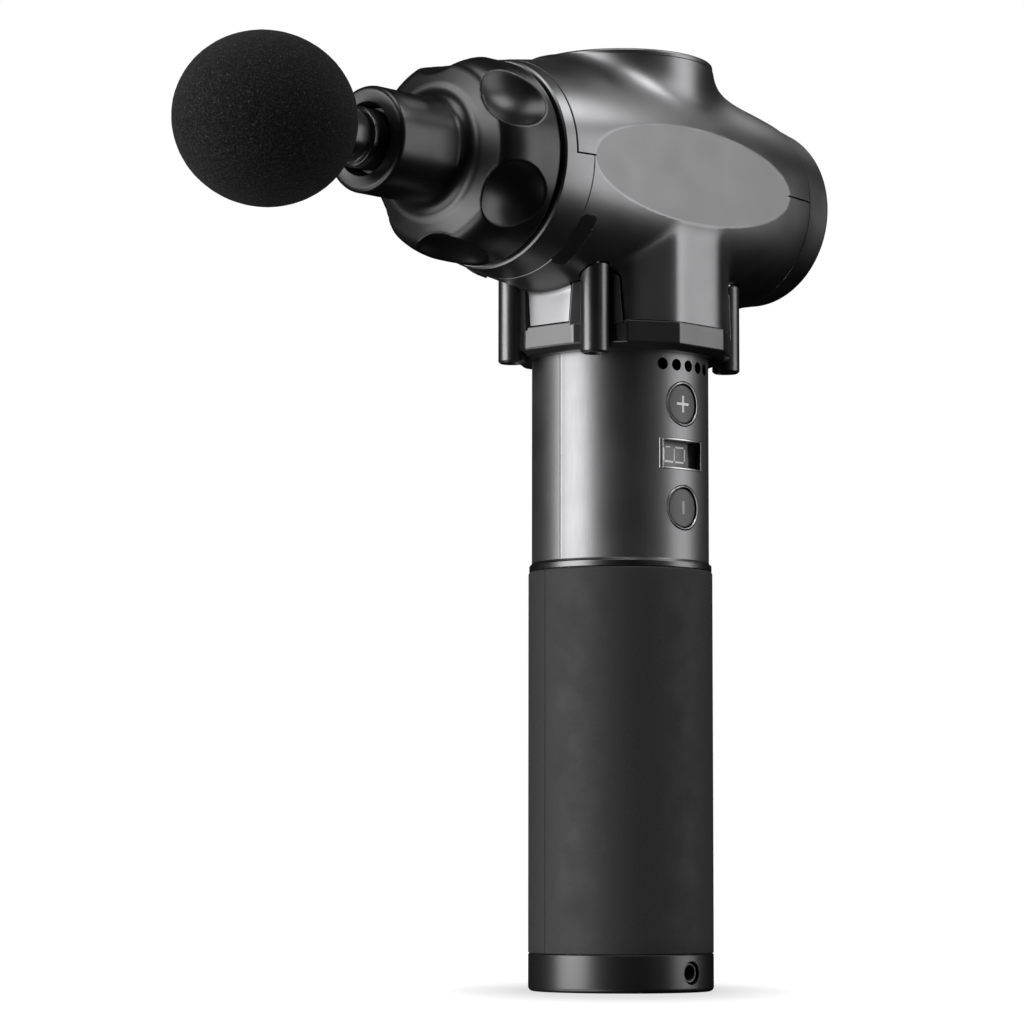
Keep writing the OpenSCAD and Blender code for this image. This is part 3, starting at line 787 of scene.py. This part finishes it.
def nose_seal():
    """Dark rubber ring that sits back between the ring and the nose."""
    front = RING_FRONT + 1.2
    outline = [(24.2, RING_FRONT - 0.35), (24.2, front - 0.2), (24.0, front), (14.2, front),
               (14.2, RING_FRONT - 0.35)]
    seal = on_stroke(turned("nose_seal", outline, 160, ring=True))
    finish_piece(seal, "housing", FINISH["seal"], ["nose_seal"])


# Nose: bell, flank down to the short tube, the tube's mouth, and the scoops round the bell
BELL_R = 25.6
BELL_EDGE = 0.7
FLANK_START = 8
FLANK_R = 5
FLANK_LONG = 10.3
NOSE_R = 13.05
NOSE_ROOT = 74
NOSE_FILLET = 4
NOSE_ROUND = 1.4
HOLE_R = 8.7
HOLE_EDGE = 0.5
SCOOPS = 6
SCOOP_R = 13
SCOOP_LONG = 0.8
SCOOP_AT = (BELL_R + 7.4, NOSE_BACK + 16)
SCOOP_BLEND = 0.45


def nose_outline():
    """Half section of the nose, from its back over the bell and the tube to the hole."""
    back = NOSE_BACK
    outline = [(11.2, back + 6), (22.5, back), (BELL_R - BELL_EDGE, back)]
    outline += arc(BELL_R - BELL_EDGE, back + BELL_EDGE, BELL_EDGE, -90, 0, 5)[1:]
    outline += [(BELL_R, back + BELL_EDGE + 0.4 * i) for i in range(1, 18)]
    outline += arc(BELL_R - FLANK_R, back + FLANK_START, FLANK_R, 0, 76, 30, tall=FLANK_LONG)[1:]
    outline += between(outline[-1], (NOSE_R + NOSE_FILLET, NOSE_ROOT - NOSE_FILLET), 6)
    outline += arc(NOSE_R + NOSE_FILLET, NOSE_ROOT, NOSE_FILLET, -90, -180, 12)
    outline += between((NOSE_R, NOSE_ROOT), (NOSE_R, NOSE_FACE - NOSE_ROUND), 6)
    outline += arc(NOSE_R - NOSE_ROUND, NOSE_FACE - NOSE_ROUND, NOSE_ROUND, 0, 90, 7)
    outline += arc(HOLE_R + HOLE_EDGE, NOSE_FACE - HOLE_EDGE, HOLE_EDGE, 90, 180, 4)
    return outline + [(HOLE_R, back + 6)]


def press_scoops(nose):
    """Presses the long round scoops into the bell while the nose still stands on +Z."""
    points = points_of(nose)
    radius = np.hypot(points[:, 0], points[:, 1])
    share = 2 * math.pi / SCOOPS
    off = np.mod(np.arctan2(points[:, 1], points[:, 0]), share) - share / 2
    across = SCOOP_AT[0] * np.sin(off)
    along = (points[:, 2] - SCOOP_AT[1]) * SCOOP_LONG
    room = np.clip(SCOOP_R ** 2 - across ** 2 - along ** 2, 0, None)
    reach = np.where(room > 0, SCOOP_AT[0] * np.cos(off) - np.sqrt(room), 99)
    outside = (radius > NOSE_R + 1) & (points[:, 2] > NOSE_BACK + 0.3)
    shaped = np.where(outside, soft_join(radius, reach, SCOOP_BLEND), radius)
    points[:, :2] *= (shaped / radius)[:, None]
    move_points(nose, points)


def nose_cap():
    """Bell with six scoops that narrows to a short tube round the plunger."""
    nose = turned("nose_cap", nose_outline(), 360, ring=True)
    press_scoops(nose)
    on_stroke(nose)
    finish_piece(nose, "housing", FINISH["nose"], ["nose_cap"], smooth=70)


REAR_DISC_R = 18.2


def rear_disc():
    """Slightly domed disc in the rear cap, with a shallow ring groove at its edge."""
    face = REAR_FACE + 2.0
    outline = [(20.9, REAR_FACE + 5.2), (20.9, face), (19.6, face), (19.2, face + 0.4), (18.6, face + 0.4),
               (REAR_DISC_R, face)]
    outline += [(r, face + 0.8 * (1 - (r / REAR_DISC_R) ** 2)) for r in (16, 13, 10, 7, 4, 2, 0.6)]
    return turned("rear_disc", outline, 192)


def rear_cap():
    """Round-edged cap on the barrel's rear end."""
    front = BARREL_REAR - SEAM
    skin = barrel_radius(front)
    outline = [(20.2, REAR_FACE + 2.2), (20.6, REAR_FACE + 0.4)]
    outline += arc(21.6, REAR_FACE + 0.6, 0.6, -180, -90, 4)
    outline += arc(22.0, REAR_FACE + 1.8, 1.8, -90, 0, 7)
    outline += [(skin - 0.25, front - 0.2), (skin - 0.5, front), (22.3, front), (22.2, front + 2.6),
                (20.8, front + 2.6), (20.8, front), (20.8, REAR_FACE + 5)]
    shell = unite(turned("rear_cap", outline, 192, ring=True), rear_disc())
    on_stroke(shell)
    finish_piece(shell, "housing", FINISH["housing"], ["rear_cap"])


def tower_cap():
    """Flat round lid of the motor tower, with a ring groove near its edge."""
    foot = TOTAL_H - 1.5
    inside = TOWER_R - SHELL_WALL - 0.15
    outline = [(20.3, foot - 2), (inside, foot - 2), (inside, foot), (TOWER_R - 0.15, foot),
               (TOWER_R, foot + 0.15)]
    outline += arc(TOWER_R - 0.7, TOTAL_H - 0.7, 0.7, 0, 90, 6)
    outline += [(21.0, TOTAL_H), (20.6, TOTAL_H - 0.35), (20.0, TOTAL_H - 0.35), (19.6, TOTAL_H)]
    outline += [(r, TOTAL_H) for r in (15, 10, 5, 1)]
    cap = turned("tower_cap", outline, 192)
    finish_piece(cap, "housing", FINISH["housing"], ["tower_cap"])


# ---- collar and tube

def collar():
    """Faceted band round the tube's top with four arms and four screw posts."""
    band = prism("collar", COLLAR_QUARTER, [(COLLAR_Z, 2.0), (COLLAR_Z + 1.5, 0), (NECK_Z, 0)])
    bevel(band, 0.45, 3, 20)
    for turn in POST_TURNS:
        unite(band, arm("arm", turn), post("post", turn))
    cut(band, rod("bore", TUBE_R + 0.12, COLLAR_Z - 5, NECK_Z + 30, 192))
    length = np.linspace(-50, 48, 30)
    cut(band, on_stroke(turned("barrel_room", [(barrel_radius(s) + 0.25, s) for s in length], 192)))
    for turn in POST_TURNS:
        hole = rod("screw_room", 2.75, POST_LOW - 2, POST_LOW + 2.5, 48)
        cut(band, place(hole, move=post_place(turn)))
        hole = rod("screw_hole", 1.55, POST_LOW - 2, POST_HIGH + 5, 32)
        cut(band, place(hole, move=post_place(turn)))
    finish_piece(band, "housing", FINISH["collar"], ["collar"], even=True)


def screw(name, head_r, shank_r, foot, head_h, top):
    """Screw seen from below: rounded head with a six-sided socket."""
    outline = [(head_r - 0.5, foot), (head_r - 0.15, foot + 0.15), (head_r, foot + 0.5),
               (head_r, foot + head_h), (shank_r, foot + head_h), (shank_r, top)]
    piece = turned(name, outline, 48)
    return cut(piece, rod("socket", head_r * 0.5, foot - 1, foot + head_h * 0.7, 6))


def foot_screw_place(i):
    """Centre of one of the three foot screws."""
    angle = math.radians(60 + 120 * i)
    return (FOOT_SCREW_AT * math.cos(angle), FOOT_SCREW_AT * math.sin(angle), 0)


def screws():
    """Four screws up through the collar's posts and three up through the foot."""
    collar_set = [place(screw("collar_screw", 2.6, 1.5, POST_LOW + 0.7, 1.8, POST_LOW + 27),
                        move=post_place(turn)) for turn in POST_TURNS]
    foot_set = [place(screw("foot_screw", 2.8, 1.45, 0.4, 0.8, 17), move=foot_screw_place(i))
                for i in range(3)]
    for name, group in (("collar_screws", collar_set), ("foot_screws", foot_set)):
        finish_piece(joined(name, group), "housing", FINISH["screw"], [name])


def side_hole(name, radius, z, turn, steps, near=10, far=40):
    """Cutter that runs out through the +X side at height z, turned about the handle."""
    return place(rod(name, radius, near, far, steps), move=(0, 0, z), turn=(0, 90, turn))


def raise_mould_line(tube):
    """Fine raised line along the tube's -Y side."""
    choose(tube, "EDGE", lambda middle, along: (abs(along.z) > 0.9 and middle.y < -TUBE_R + 0.1
                                                and abs(middle.x) < 0.1))
    bpy.ops.mesh.bevel(offset=0.17, segments=2)
    done()
    points = points_of(tube)
    line = (np.abs(points[:, 0]) < 0.02) & (points[:, 1] < -TUBE_R + 0.3)
    points[line, 1] -= 0.045
    move_points(tube, points)


def handle_tube():
    """Metal tube with the button holes, the display window, the vents and its mould line."""
    inner = TUBE_R - TUBE_WALL
    heights = [FOOT_H + 0.05, 40, 70, 100, 108] + [108 + 2 * i for i in range(1, 31)] + [TUBE_TOP]
    outline = [(TUBE_R, z) for z in heights] + [(inner, z) for z in reversed(heights)]
    tube = turned("handle_tube", outline, 240, ring=True)
    raise_mould_line(tube)
    for z in (MINUS_Z, PLUS_Z):
        cut(tube, side_hole("button_hole", 5.8, z, CONTROLS_TURN, 96))
    opening = block("window_hole", (20, WINDOW_W, WINDOW_H), (25, 0, WINDOW_Z))
    round_along_x(opening, 0.4, 3)
    cut(tube, on_controls(opening))
    for turn in VENT_TURNS:
        cut(tube, side_hole("vent", VENT_R, VENT_Z, turn, 40))
    finish_piece(tube, "housing", FINISH["tube"], ["handle_tube"])


def button_bezels():
    """Thin raised ring round each button, following the tube."""
    outline = [(5.1, -2.0), (5.1, -0.05), (5.2, 0.1), (5.35, 0.16), (5.5, 0.1), (5.65, -0.12), (5.7, -2.0)]
    rings = [wrap_at(turned("bezel", outline, 128, ring=True), z) for z in (MINUS_Z, PLUS_Z)]
    both = joined("button_bezels", rings)
    finish_piece(both, "housing", FINISH["bezel"], ["button_bezels"])


def wrap_at(piece, z):
    """Lays a piece built along +Z on the tube's +X side at height z, bent to the tube."""
    place(piece, turn=(0, 90, 0))
    wrap_on_tube(piece)
    return on_controls(piece, z)


def sign_bar(name, length, width, upright):
    """Bar of a plus or minus sign, flat as drawn."""
    size = (0.2, width, length) if upright else (0.2, length, width)
    bar = block(name, size, (-0.1, 0, 0))
    slice_across(bar, -size[1] / 2, size[1] / 2, 8)
    return bar


BUTTON_FACE = -0.3


def button_cap(word, z):
    """Round key with a softened edge and a stem toward its switch."""
    outline = [(1.5, -2.98), (1.5, -2.0), (4.85, -2.0), (4.85, BUTTON_FACE - 0.25)]
    outline += arc(4.6, BUTTON_FACE - 0.25, 0.25, 0, 90, 4)[1:]
    outline += [(r, BUTTON_FACE) for r in (4.2, 3.4, 2.6, 1.8, 1.0, 0.4)]
    cap = wrap_at(turned(f"{word}_button", outline, 96), z)
    finish_piece(cap, f"{word}_key", FINISH["button"], [f"{word}_button"])


def button_mark(word, z, bars, finish):
    """Sign printed a little proud of a key's face."""
    mark = bars[0]
    unite(mark, *bars[1:])
    mark.name = f"{word}_mark"
    points = points_of(mark)
    points[:, 0] += BUTTON_FACE + 0.06
    move_points(mark, points)
    wrap_on_tube(mark)
    on_controls(mark, z)
    finish_piece(mark, f"{word}_key", finish)


def buttons():
    """Plus and minus key, each with its sign, on the bodies that move."""
    button_cap("plus", PLUS_Z)
    plus = [sign_bar("mark", 4.2, 0.64, upright) for upright in (True, False)]
    button_mark("plus", PLUS_Z, plus, FINISH["print"])
    button_cap("minus", MINUS_Z)
    button_mark("minus", MINUS_Z, [sign_bar("mark", 3.3, 0.8, True)], FINISH["faint_print"])


# Display: half width and height of its frame, the frame's lip and thin sides, and where the pane lies
FRAME_Y = WINDOW_W / 2 - 0.08
FRAME_H = WINDOW_H - 0.16
FRAME_LIP = 1.05
FRAME_SIDE = 0.45
PANE_X = 20.3
PANEL_Y = (-FRAME_Y + FRAME_LIP - 0.1, 3.6)


def display_frame():
    """Frame of the sunk window, with a wide grooved lip toward -Y."""
    piece = block("display_frame", (2.2, 2 * FRAME_Y, FRAME_H), (-0.95, 0, 0))
    slice_across(piece, -FRAME_Y, FRAME_Y, 24)
    hole_w = 2 * FRAME_Y - FRAME_LIP - FRAME_SIDE
    cut(piece, block("frame_hole", (6, hole_w, FRAME_H - 2 * FRAME_SIDE),
                     (0, (FRAME_LIP - FRAME_SIDE) / 2, 0)))
    bevel(piece, 0.12, 2, 40)
    cut(piece, block("lip_groove", (0.5, 0.25, FRAME_H - 0.8), (0.2, -FRAME_Y + 0.5, 0)))
    wrap_on_tube(piece)
    on_controls(piece, WINDOW_Z)
    finish_piece(piece, "housing", FINISH["bezel"], even=True)


def display():
    """Sunk window: a frame, a dark pane, a grey panel and the figure on it."""
    display_frame()
    pane = block("display_lens", (0.8, 2 * FRAME_Y - 0.6, FRAME_H - 0.6), (PANE_X - 0.4, 0, WINDOW_Z))
    bevel(pane, 0.1, 2)
    on_controls(pane)
    finish_piece(pane, "housing", FINISH["window"], ["display_lens"])
    middle = sum(PANEL_Y) / 2
    panel = block("led_display", (2.5, PANEL_Y[1] - PANEL_Y[0], FRAME_H - 1.0),
                  (PANE_X - 1.15, middle, WINDOW_Z))
    bevel(panel, 0.06, 2)
    on_controls(panel)
    finish_piece(panel, "housing", FINISH["panel"], ["led_display"])
    figure = on_controls(display_figure(PANE_X + 0.13, middle + 0.2))
    finish_piece(figure, "housing", FINISH["print"])


def display_figure(x, middle):
    """Seven-part figure lying on its side, its end cell open at one corner."""
    cell, tall, line = 3.7, 3.7, 0.42
    parts = []
    for end in (-1, 1):
        for z in (-tall / 2, tall / 2):
            if (end, z > 0) != (-1, True):
                parts.append((end * cell / 2, z, cell - 0.55, line))
    parts += [(y, 0, line, tall - 0.55) for y in (-cell, 0, cell)]
    parts.append((-cell * 0.62, tall / 2, cell * 0.45, line))
    bars = [block("segment", (0.1, wide, upright), (x, middle + y, WINDOW_Z + z))
            for y, z, wide, upright in parts]
    figure = joined("display_figure", bars)
    bevel(figure, 0.04, 1)
    return figure


# ---- grip and foot

def grip():
    """Rubber sleeve with a fine seam, and the metal ring on its top."""
    foot = FOOT_H + 0.08
    edge = 0.55
    outline = [(TUBE_R + 0.05, foot), (GRIP_R - 0.3, foot)]
    outline += arc(GRIP_R - 0.3, foot + 0.3, 0.3, -90, 0, 4)[1:]
    outline += [(GRIP_R, foot + 0.3 + (GRIP_TOP - edge - foot - 0.3) * i / 24) for i in range(1, 25)]
    outline += arc(GRIP_R - edge, GRIP_TOP - edge, edge, 0, 90, 6)[1:] + [(TUBE_R + 0.05, GRIP_TOP)]
    sleeve = turned("grip_sleeve", outline, 192, ring=True)
    seam = block("seam", (0.16, 1.0, GRIP_TOP + 10), (0, -GRIP_R, GRIP_TOP / 2))
    cut(sleeve, place(seam, turn=(0, 0, -12.6)))
    finish_piece(sleeve, "housing", FINISH["rubber"], ["grip_sleeve"])
    z = GRIP_TOP + 0.05
    outline = [(TUBE_R + 0.05, z), (GRIP_R - 0.35, z), (GRIP_R - 0.2, z + 0.15), (GRIP_R - 0.2, z + 0.9)]
    outline += arc(GRIP_R - 0.7, z + 1.3, 0.5, 10, 80, 5) + [(TUBE_R + 0.05, z + 2.2)]
    ring = turned("grip_ring", outline, 192, ring=True)
    finish_piece(ring, "housing", FINISH["ring"], ["grip_ring"])


def foot_cap():
    """Gloss cup under the grip, with the jack's hole and three screw rooms."""
    inner = TUBE_R - TUBE_WALL - 0.05
    outline = [(GRIP_R - 1.6, 0.0)] + arc(GRIP_R - 1.2, 1.2, 1.2, -90, 0, 7)
    outline += [(GRIP_R, FOOT_H - 0.25), (GRIP_R - 0.25, FOOT_H), (inner, FOOT_H), (inner, 14), (18.9, 14),
                (18.9, 2.0), (0.5, 2.0)]
    cap = turned("foot_cap", [(20.5, 0.0)] + outline, 192)
    cut(cap, side_hole("jack_hole", 2.95, JACK_Z, 0, 64))
    for i in range(3):
        cut(cap, place(rod("screw_room", 3.0, -1, 1.2, 48), move=foot_screw_place(i)))
        cut(cap, place(rod("screw_hole", 1.5, -1, 20, 32), move=foot_screw_place(i)))
    finish_piece(cap, "housing", FINISH["trim"], ["foot_cap"])


def charge_jack():
    """Round-lipped barrel jack on its moulded body, with the pin deep in its bore."""
    outline = [(1.8, 17.0), (1.8, 22.3)] + arc(2.2, 22.4, 0.4, 180, 0, 8)[1:]
    outline += [(2.65, 22.1), (2.8, 21.9), (2.8, 18.0), (2.2, 18.0), (2.2, 17.0)]
    nose = turned("charge_jack", outline, 64, ring=True)
    place(nose, move=(0, 0, JACK_Z), turn=(0, 90, 0))
    body = block("jack_body", (9.6, 8.8, 6.0), (13.3, 0, 5.05))
    bevel(body, 0.3, 2)
    unite(nose, body)
    cut(nose, side_hole("jack_bore", 1.3, JACK_Z, 0, 40, far=17.2))
    cut(nose, side_hole("jack_mouth", 1.8, JACK_Z, 0, 64, near=17.0, far=30))
    pin = turned("jack_pin", [(0.45, 9.2), (0.45, 16.3), (0.25, 16.5)], 24)
    unite(nose, place(pin, move=(0, 0, JACK_Z), turn=(0, 90, 0)))
    finish_piece(nose, "housing", FINISH["black"], ["charge_jack"])


# ---- ball and its stem

def ball_stem():
    """Plug with two ring grooves, two flanges in front of it and the ball's core."""
    start = -high("ball_stem").y
    flange = 90.2
    outline = [(2.5, start), (4.7, start), (5.5, start + 0.8)]
    for s in (start + 5, start + 13):
        outline += [(5.5, s - 0.5), (4.6, s - 0.5), (4.6, s + 0.5), (5.5, s + 0.5)]
    outline += [(5.5, flange - 0.3), (6.8, flange - 0.2)] + arc(6.9, flange + 0.4, 0.5, -60, 0, 4)
    outline += arc(6.8, flange + 6.0, 0.6, 0, 90, 5) + [(6.2, flange + 7.0), (6.2, flange + 7.5)]
    outline += arc(6.3, flange + 8.2, 0.6, -90, 0, 5) + [(6.9, BALL_S - 19.0), (8.4, BALL_S - 18.6),
                                                     (8.4, BALL_S - 12.2), (2.5, BALL_S - 12.2)]
    stem = on_stroke(turned("ball_stem", outline, 96, ring=True))
    finish_piece(stem, "attachment", FINISH["stem"], ["ball_stem"])


def foam_ball():
    """Dense foam ball, a little long along the stroke, with a soft mouth round the stem."""
    ball = begin("foam_ball", bpy.ops.mesh.primitive_uv_sphere_add, segments=224, ring_count=144, radius=1)
    points = points_of(ball)
    depth = points[:, 2].copy()
    round_r, long_r = 20.6, 22.8
    points[:, :2] *= round_r
    points[:, 2] = depth * long_r
    unit = points / np.linalg.norm(points, axis=1)[:, None]
    grain = np.zeros(len(points))
    for scale, weight in ((1.3, 1.0), (2.9, 0.6), (6.1, 0.35)):
        a, b, c = (points * scale).T
        waves = np.sin(a + 1.7 * np.sin(b)) * np.cos(b + 1.3 * np.sin(c)) * np.sin(c + 0.9 * np.sin(a))
        grain += weight * waves
    points += unit * (grain * 0.035)[:, None]
    place(ball)
    move_points(ball, points)
    place(ball, move=(0, 0, BALL_S))
    mouth = [(8.5, BALL_S - 12), (8.5, BALL_S - 19.2), (7.0, BALL_S - 19.6), (7.0, BALL_S - 30)]
    cut(ball, turned("mouth", mouth, 96))
    on_stroke(ball)
    finish_piece(ball, "attachment", FINISH["foam"], ["foam_ball"], smooth=50)


# ---- finishes of the CAD nodes that stay

KEPT = {
    "copper": ["charge_leads", "battery_leads", "motor_leads", "stator_windings"],
    "board": ["control_board", "protection_board", "driver_board"],
    "wrap": ["battery_cells"],
    "black": ["battery_frame", "drive_yoke"],
    "cast": ["drive_frame", "motor_mount"],
    "bearing": ["motor_bearings", "motor_shaft", "crank_pin", "pin_roller"],
    "core": ["stator", "motor_can", "magnets"],
    "bronze": ["plunger_bush", "crank_disc"],
    "plunger": ["plunger"],
    "screw": ["frame_screws", "motor_screws", "yoke_screws", "tact_switches", "cell_straps"],
    "seal": ["stem_rings"],
    "print": ["control_ribbon"],
}


def finish_kept_nodes():
    """Gives each CAD node inside the gun its finish."""
    for finish, nodes in KEPT.items():
        for node in nodes:
            piece = frame["nodes"][node]
            piece.data.materials.clear()
            piece.data.materials.append(FINISH[finish])


# ---- studio

# Camera: degrees round the handle, then metres, degrees of tilt and roll, and millimetres of lens
CAMERA_AZIMUTH = 43.0
CAMERA_AWAY = 0.9432
CAMERA_UP = 0.030
CAMERA_LEFT = 0.0276
CAMERA_TILT = 5.55
CAMERA_ROLL = -0.08
LENS = 130.078

# Soft boxes: degrees right of the camera's side, degrees up, metres away, wide and tall, and watts
SOFT_BOXES = {
    "left_strip": (-64, 8, 1.2, 0.92, 1.3, 29),
    "right_panel": (84, 6, 1.4, 0.8, 1.3, 12),
    "right_fill": (42, 8, 1.5, 0.6, 1.2, 0.3),
    "top_panel": (-6, 73, 1.1, 0.6, 0.6, 6),
    "high_panel": (83, 50, 1.2, 0.5, 0.4, 5.0),
    "back_panel": (143, 43, 1.2, 0.3, 0.25, 0.7),
    "low_panel": (-66, -44, 1.2, 1.2, 0.6, 8),
}
AIM_HEIGHT = 0.15

# How finely the floor's shade is drawn across the camera's view and along it
SHADE_ACROSS = 13
SHADE_ALONG = 6


def toward(azimuth, elevation=0.0):
    """Unit vector from the object, by degrees right of the camera's side and up."""
    a, e = math.radians(CAMERA_AZIMUTH + azimuth), math.radians(elevation)
    return Vector((math.sin(a) * math.cos(e), -math.cos(a) * math.cos(e), math.sin(e)))


def camera():
    """Camera low at the front right, looking slightly up at the head."""
    data = bpy.data.cameras.new("camera")
    view = bpy.data.objects.new("camera", data)
    bpy.context.scene.collection.objects.link(view)
    data.sensor_width = 36
    data.lens = LENS
    data.clip_start = 0.05
    view.location = toward(0) * CAMERA_AWAY - toward(90) * CAMERA_LEFT + Vector((0, 0, CAMERA_UP))
    view.rotation_euler = [math.radians(a) for a in (90 + CAMERA_TILT, CAMERA_ROLL, CAMERA_AZIMUTH)]
    bpy.context.scene.camera = view


def soft_box(name, azimuth, elevation, away, wide, tall, power):
    """Large soft light that faces the object and isn't seen itself."""
    data = bpy.data.lights.new(name, "AREA")
    data.shape = "RECTANGLE"
    data.size, data.size_y = wide, tall
    data.energy = power
    light = bpy.data.objects.new(name, data)
    bpy.context.scene.collection.objects.link(light)
    target = Vector((0, 0, AIM_HEIGHT))
    light.location = target + toward(azimuth, elevation) * away
    light.rotation_euler = (target - light.location).to_track_quat("-Z", "Y").to_euler()
    light.visible_camera = False


def floor_finish():
    """Plain pale floor, evenly white but for a soft shade round the foot."""
    material, shader = new_finish("pale_floor", Roughness=0.9, Specular_IOR_Level=0.0,
                                  Base_Color=grey(0.06), Emission_Color=grey(1.0))
    tree = material.node_tree
    ball = tree.nodes.new("ShaderNodeTexGradient")
    ball.gradient_type = "SPHERICAL"
    stretch = (SHADE_ACROSS, SHADE_ALONG, SHADE_ACROSS)
    tree.links.new(coordinates(tree, stretch), ball.inputs["Vector"])
    glow = spread(tree, ball.outputs["Fac"], 1.0, 0.68, 0.38, 0.7)
    tree.links.new(glow, shader.inputs["Emission Strength"])
    return material


def white_world():
    """White surroundings that neither light the object nor show in it."""
    world = bpy.data.worlds.new("studio")
    bpy.context.scene.world = world
    world.use_nodes = True
    world.node_tree.nodes["Background"].inputs["Color"].default_value = (1, 1, 1, 1)
    world.node_tree.nodes["Background"].inputs["Strength"].default_value = 1.0
    world.cycles_visibility.glossy = False
    world.cycles_visibility.diffuse = False


def floor_plane():
    """Floor under the foot, squared to the camera."""
    floor = begin("floor", bpy.ops.mesh.primitive_plane_add, size=6,
                  rotation=(0, 0, math.radians(CAMERA_AZIMUTH)))
    floor.data.materials.append(floor_finish())
    floor.visible_glossy = False
    floor.visible_diffuse = False
    floor.visible_shadow = False


def studio():
    """World, floor and soft boxes."""
    bpy.context.scene.view_settings.view_transform = "Standard"
    white_world()
    floor_plane()
    for name, settings in SOFT_BOXES.items():
        soft_box(name, *settings)


camera()
head_shells()
side_plates()
painted_shade_pads()
front_ring()
nose_seal()
nose_cap()
rear_cap()
tower_cap()
collar()
screws()
handle_tube()
button_bezels()
buttons()
display()
grip()
foot_cap()
charge_jack()
ball_stem()
foam_ball()
finish_kept_nodes()
studio()
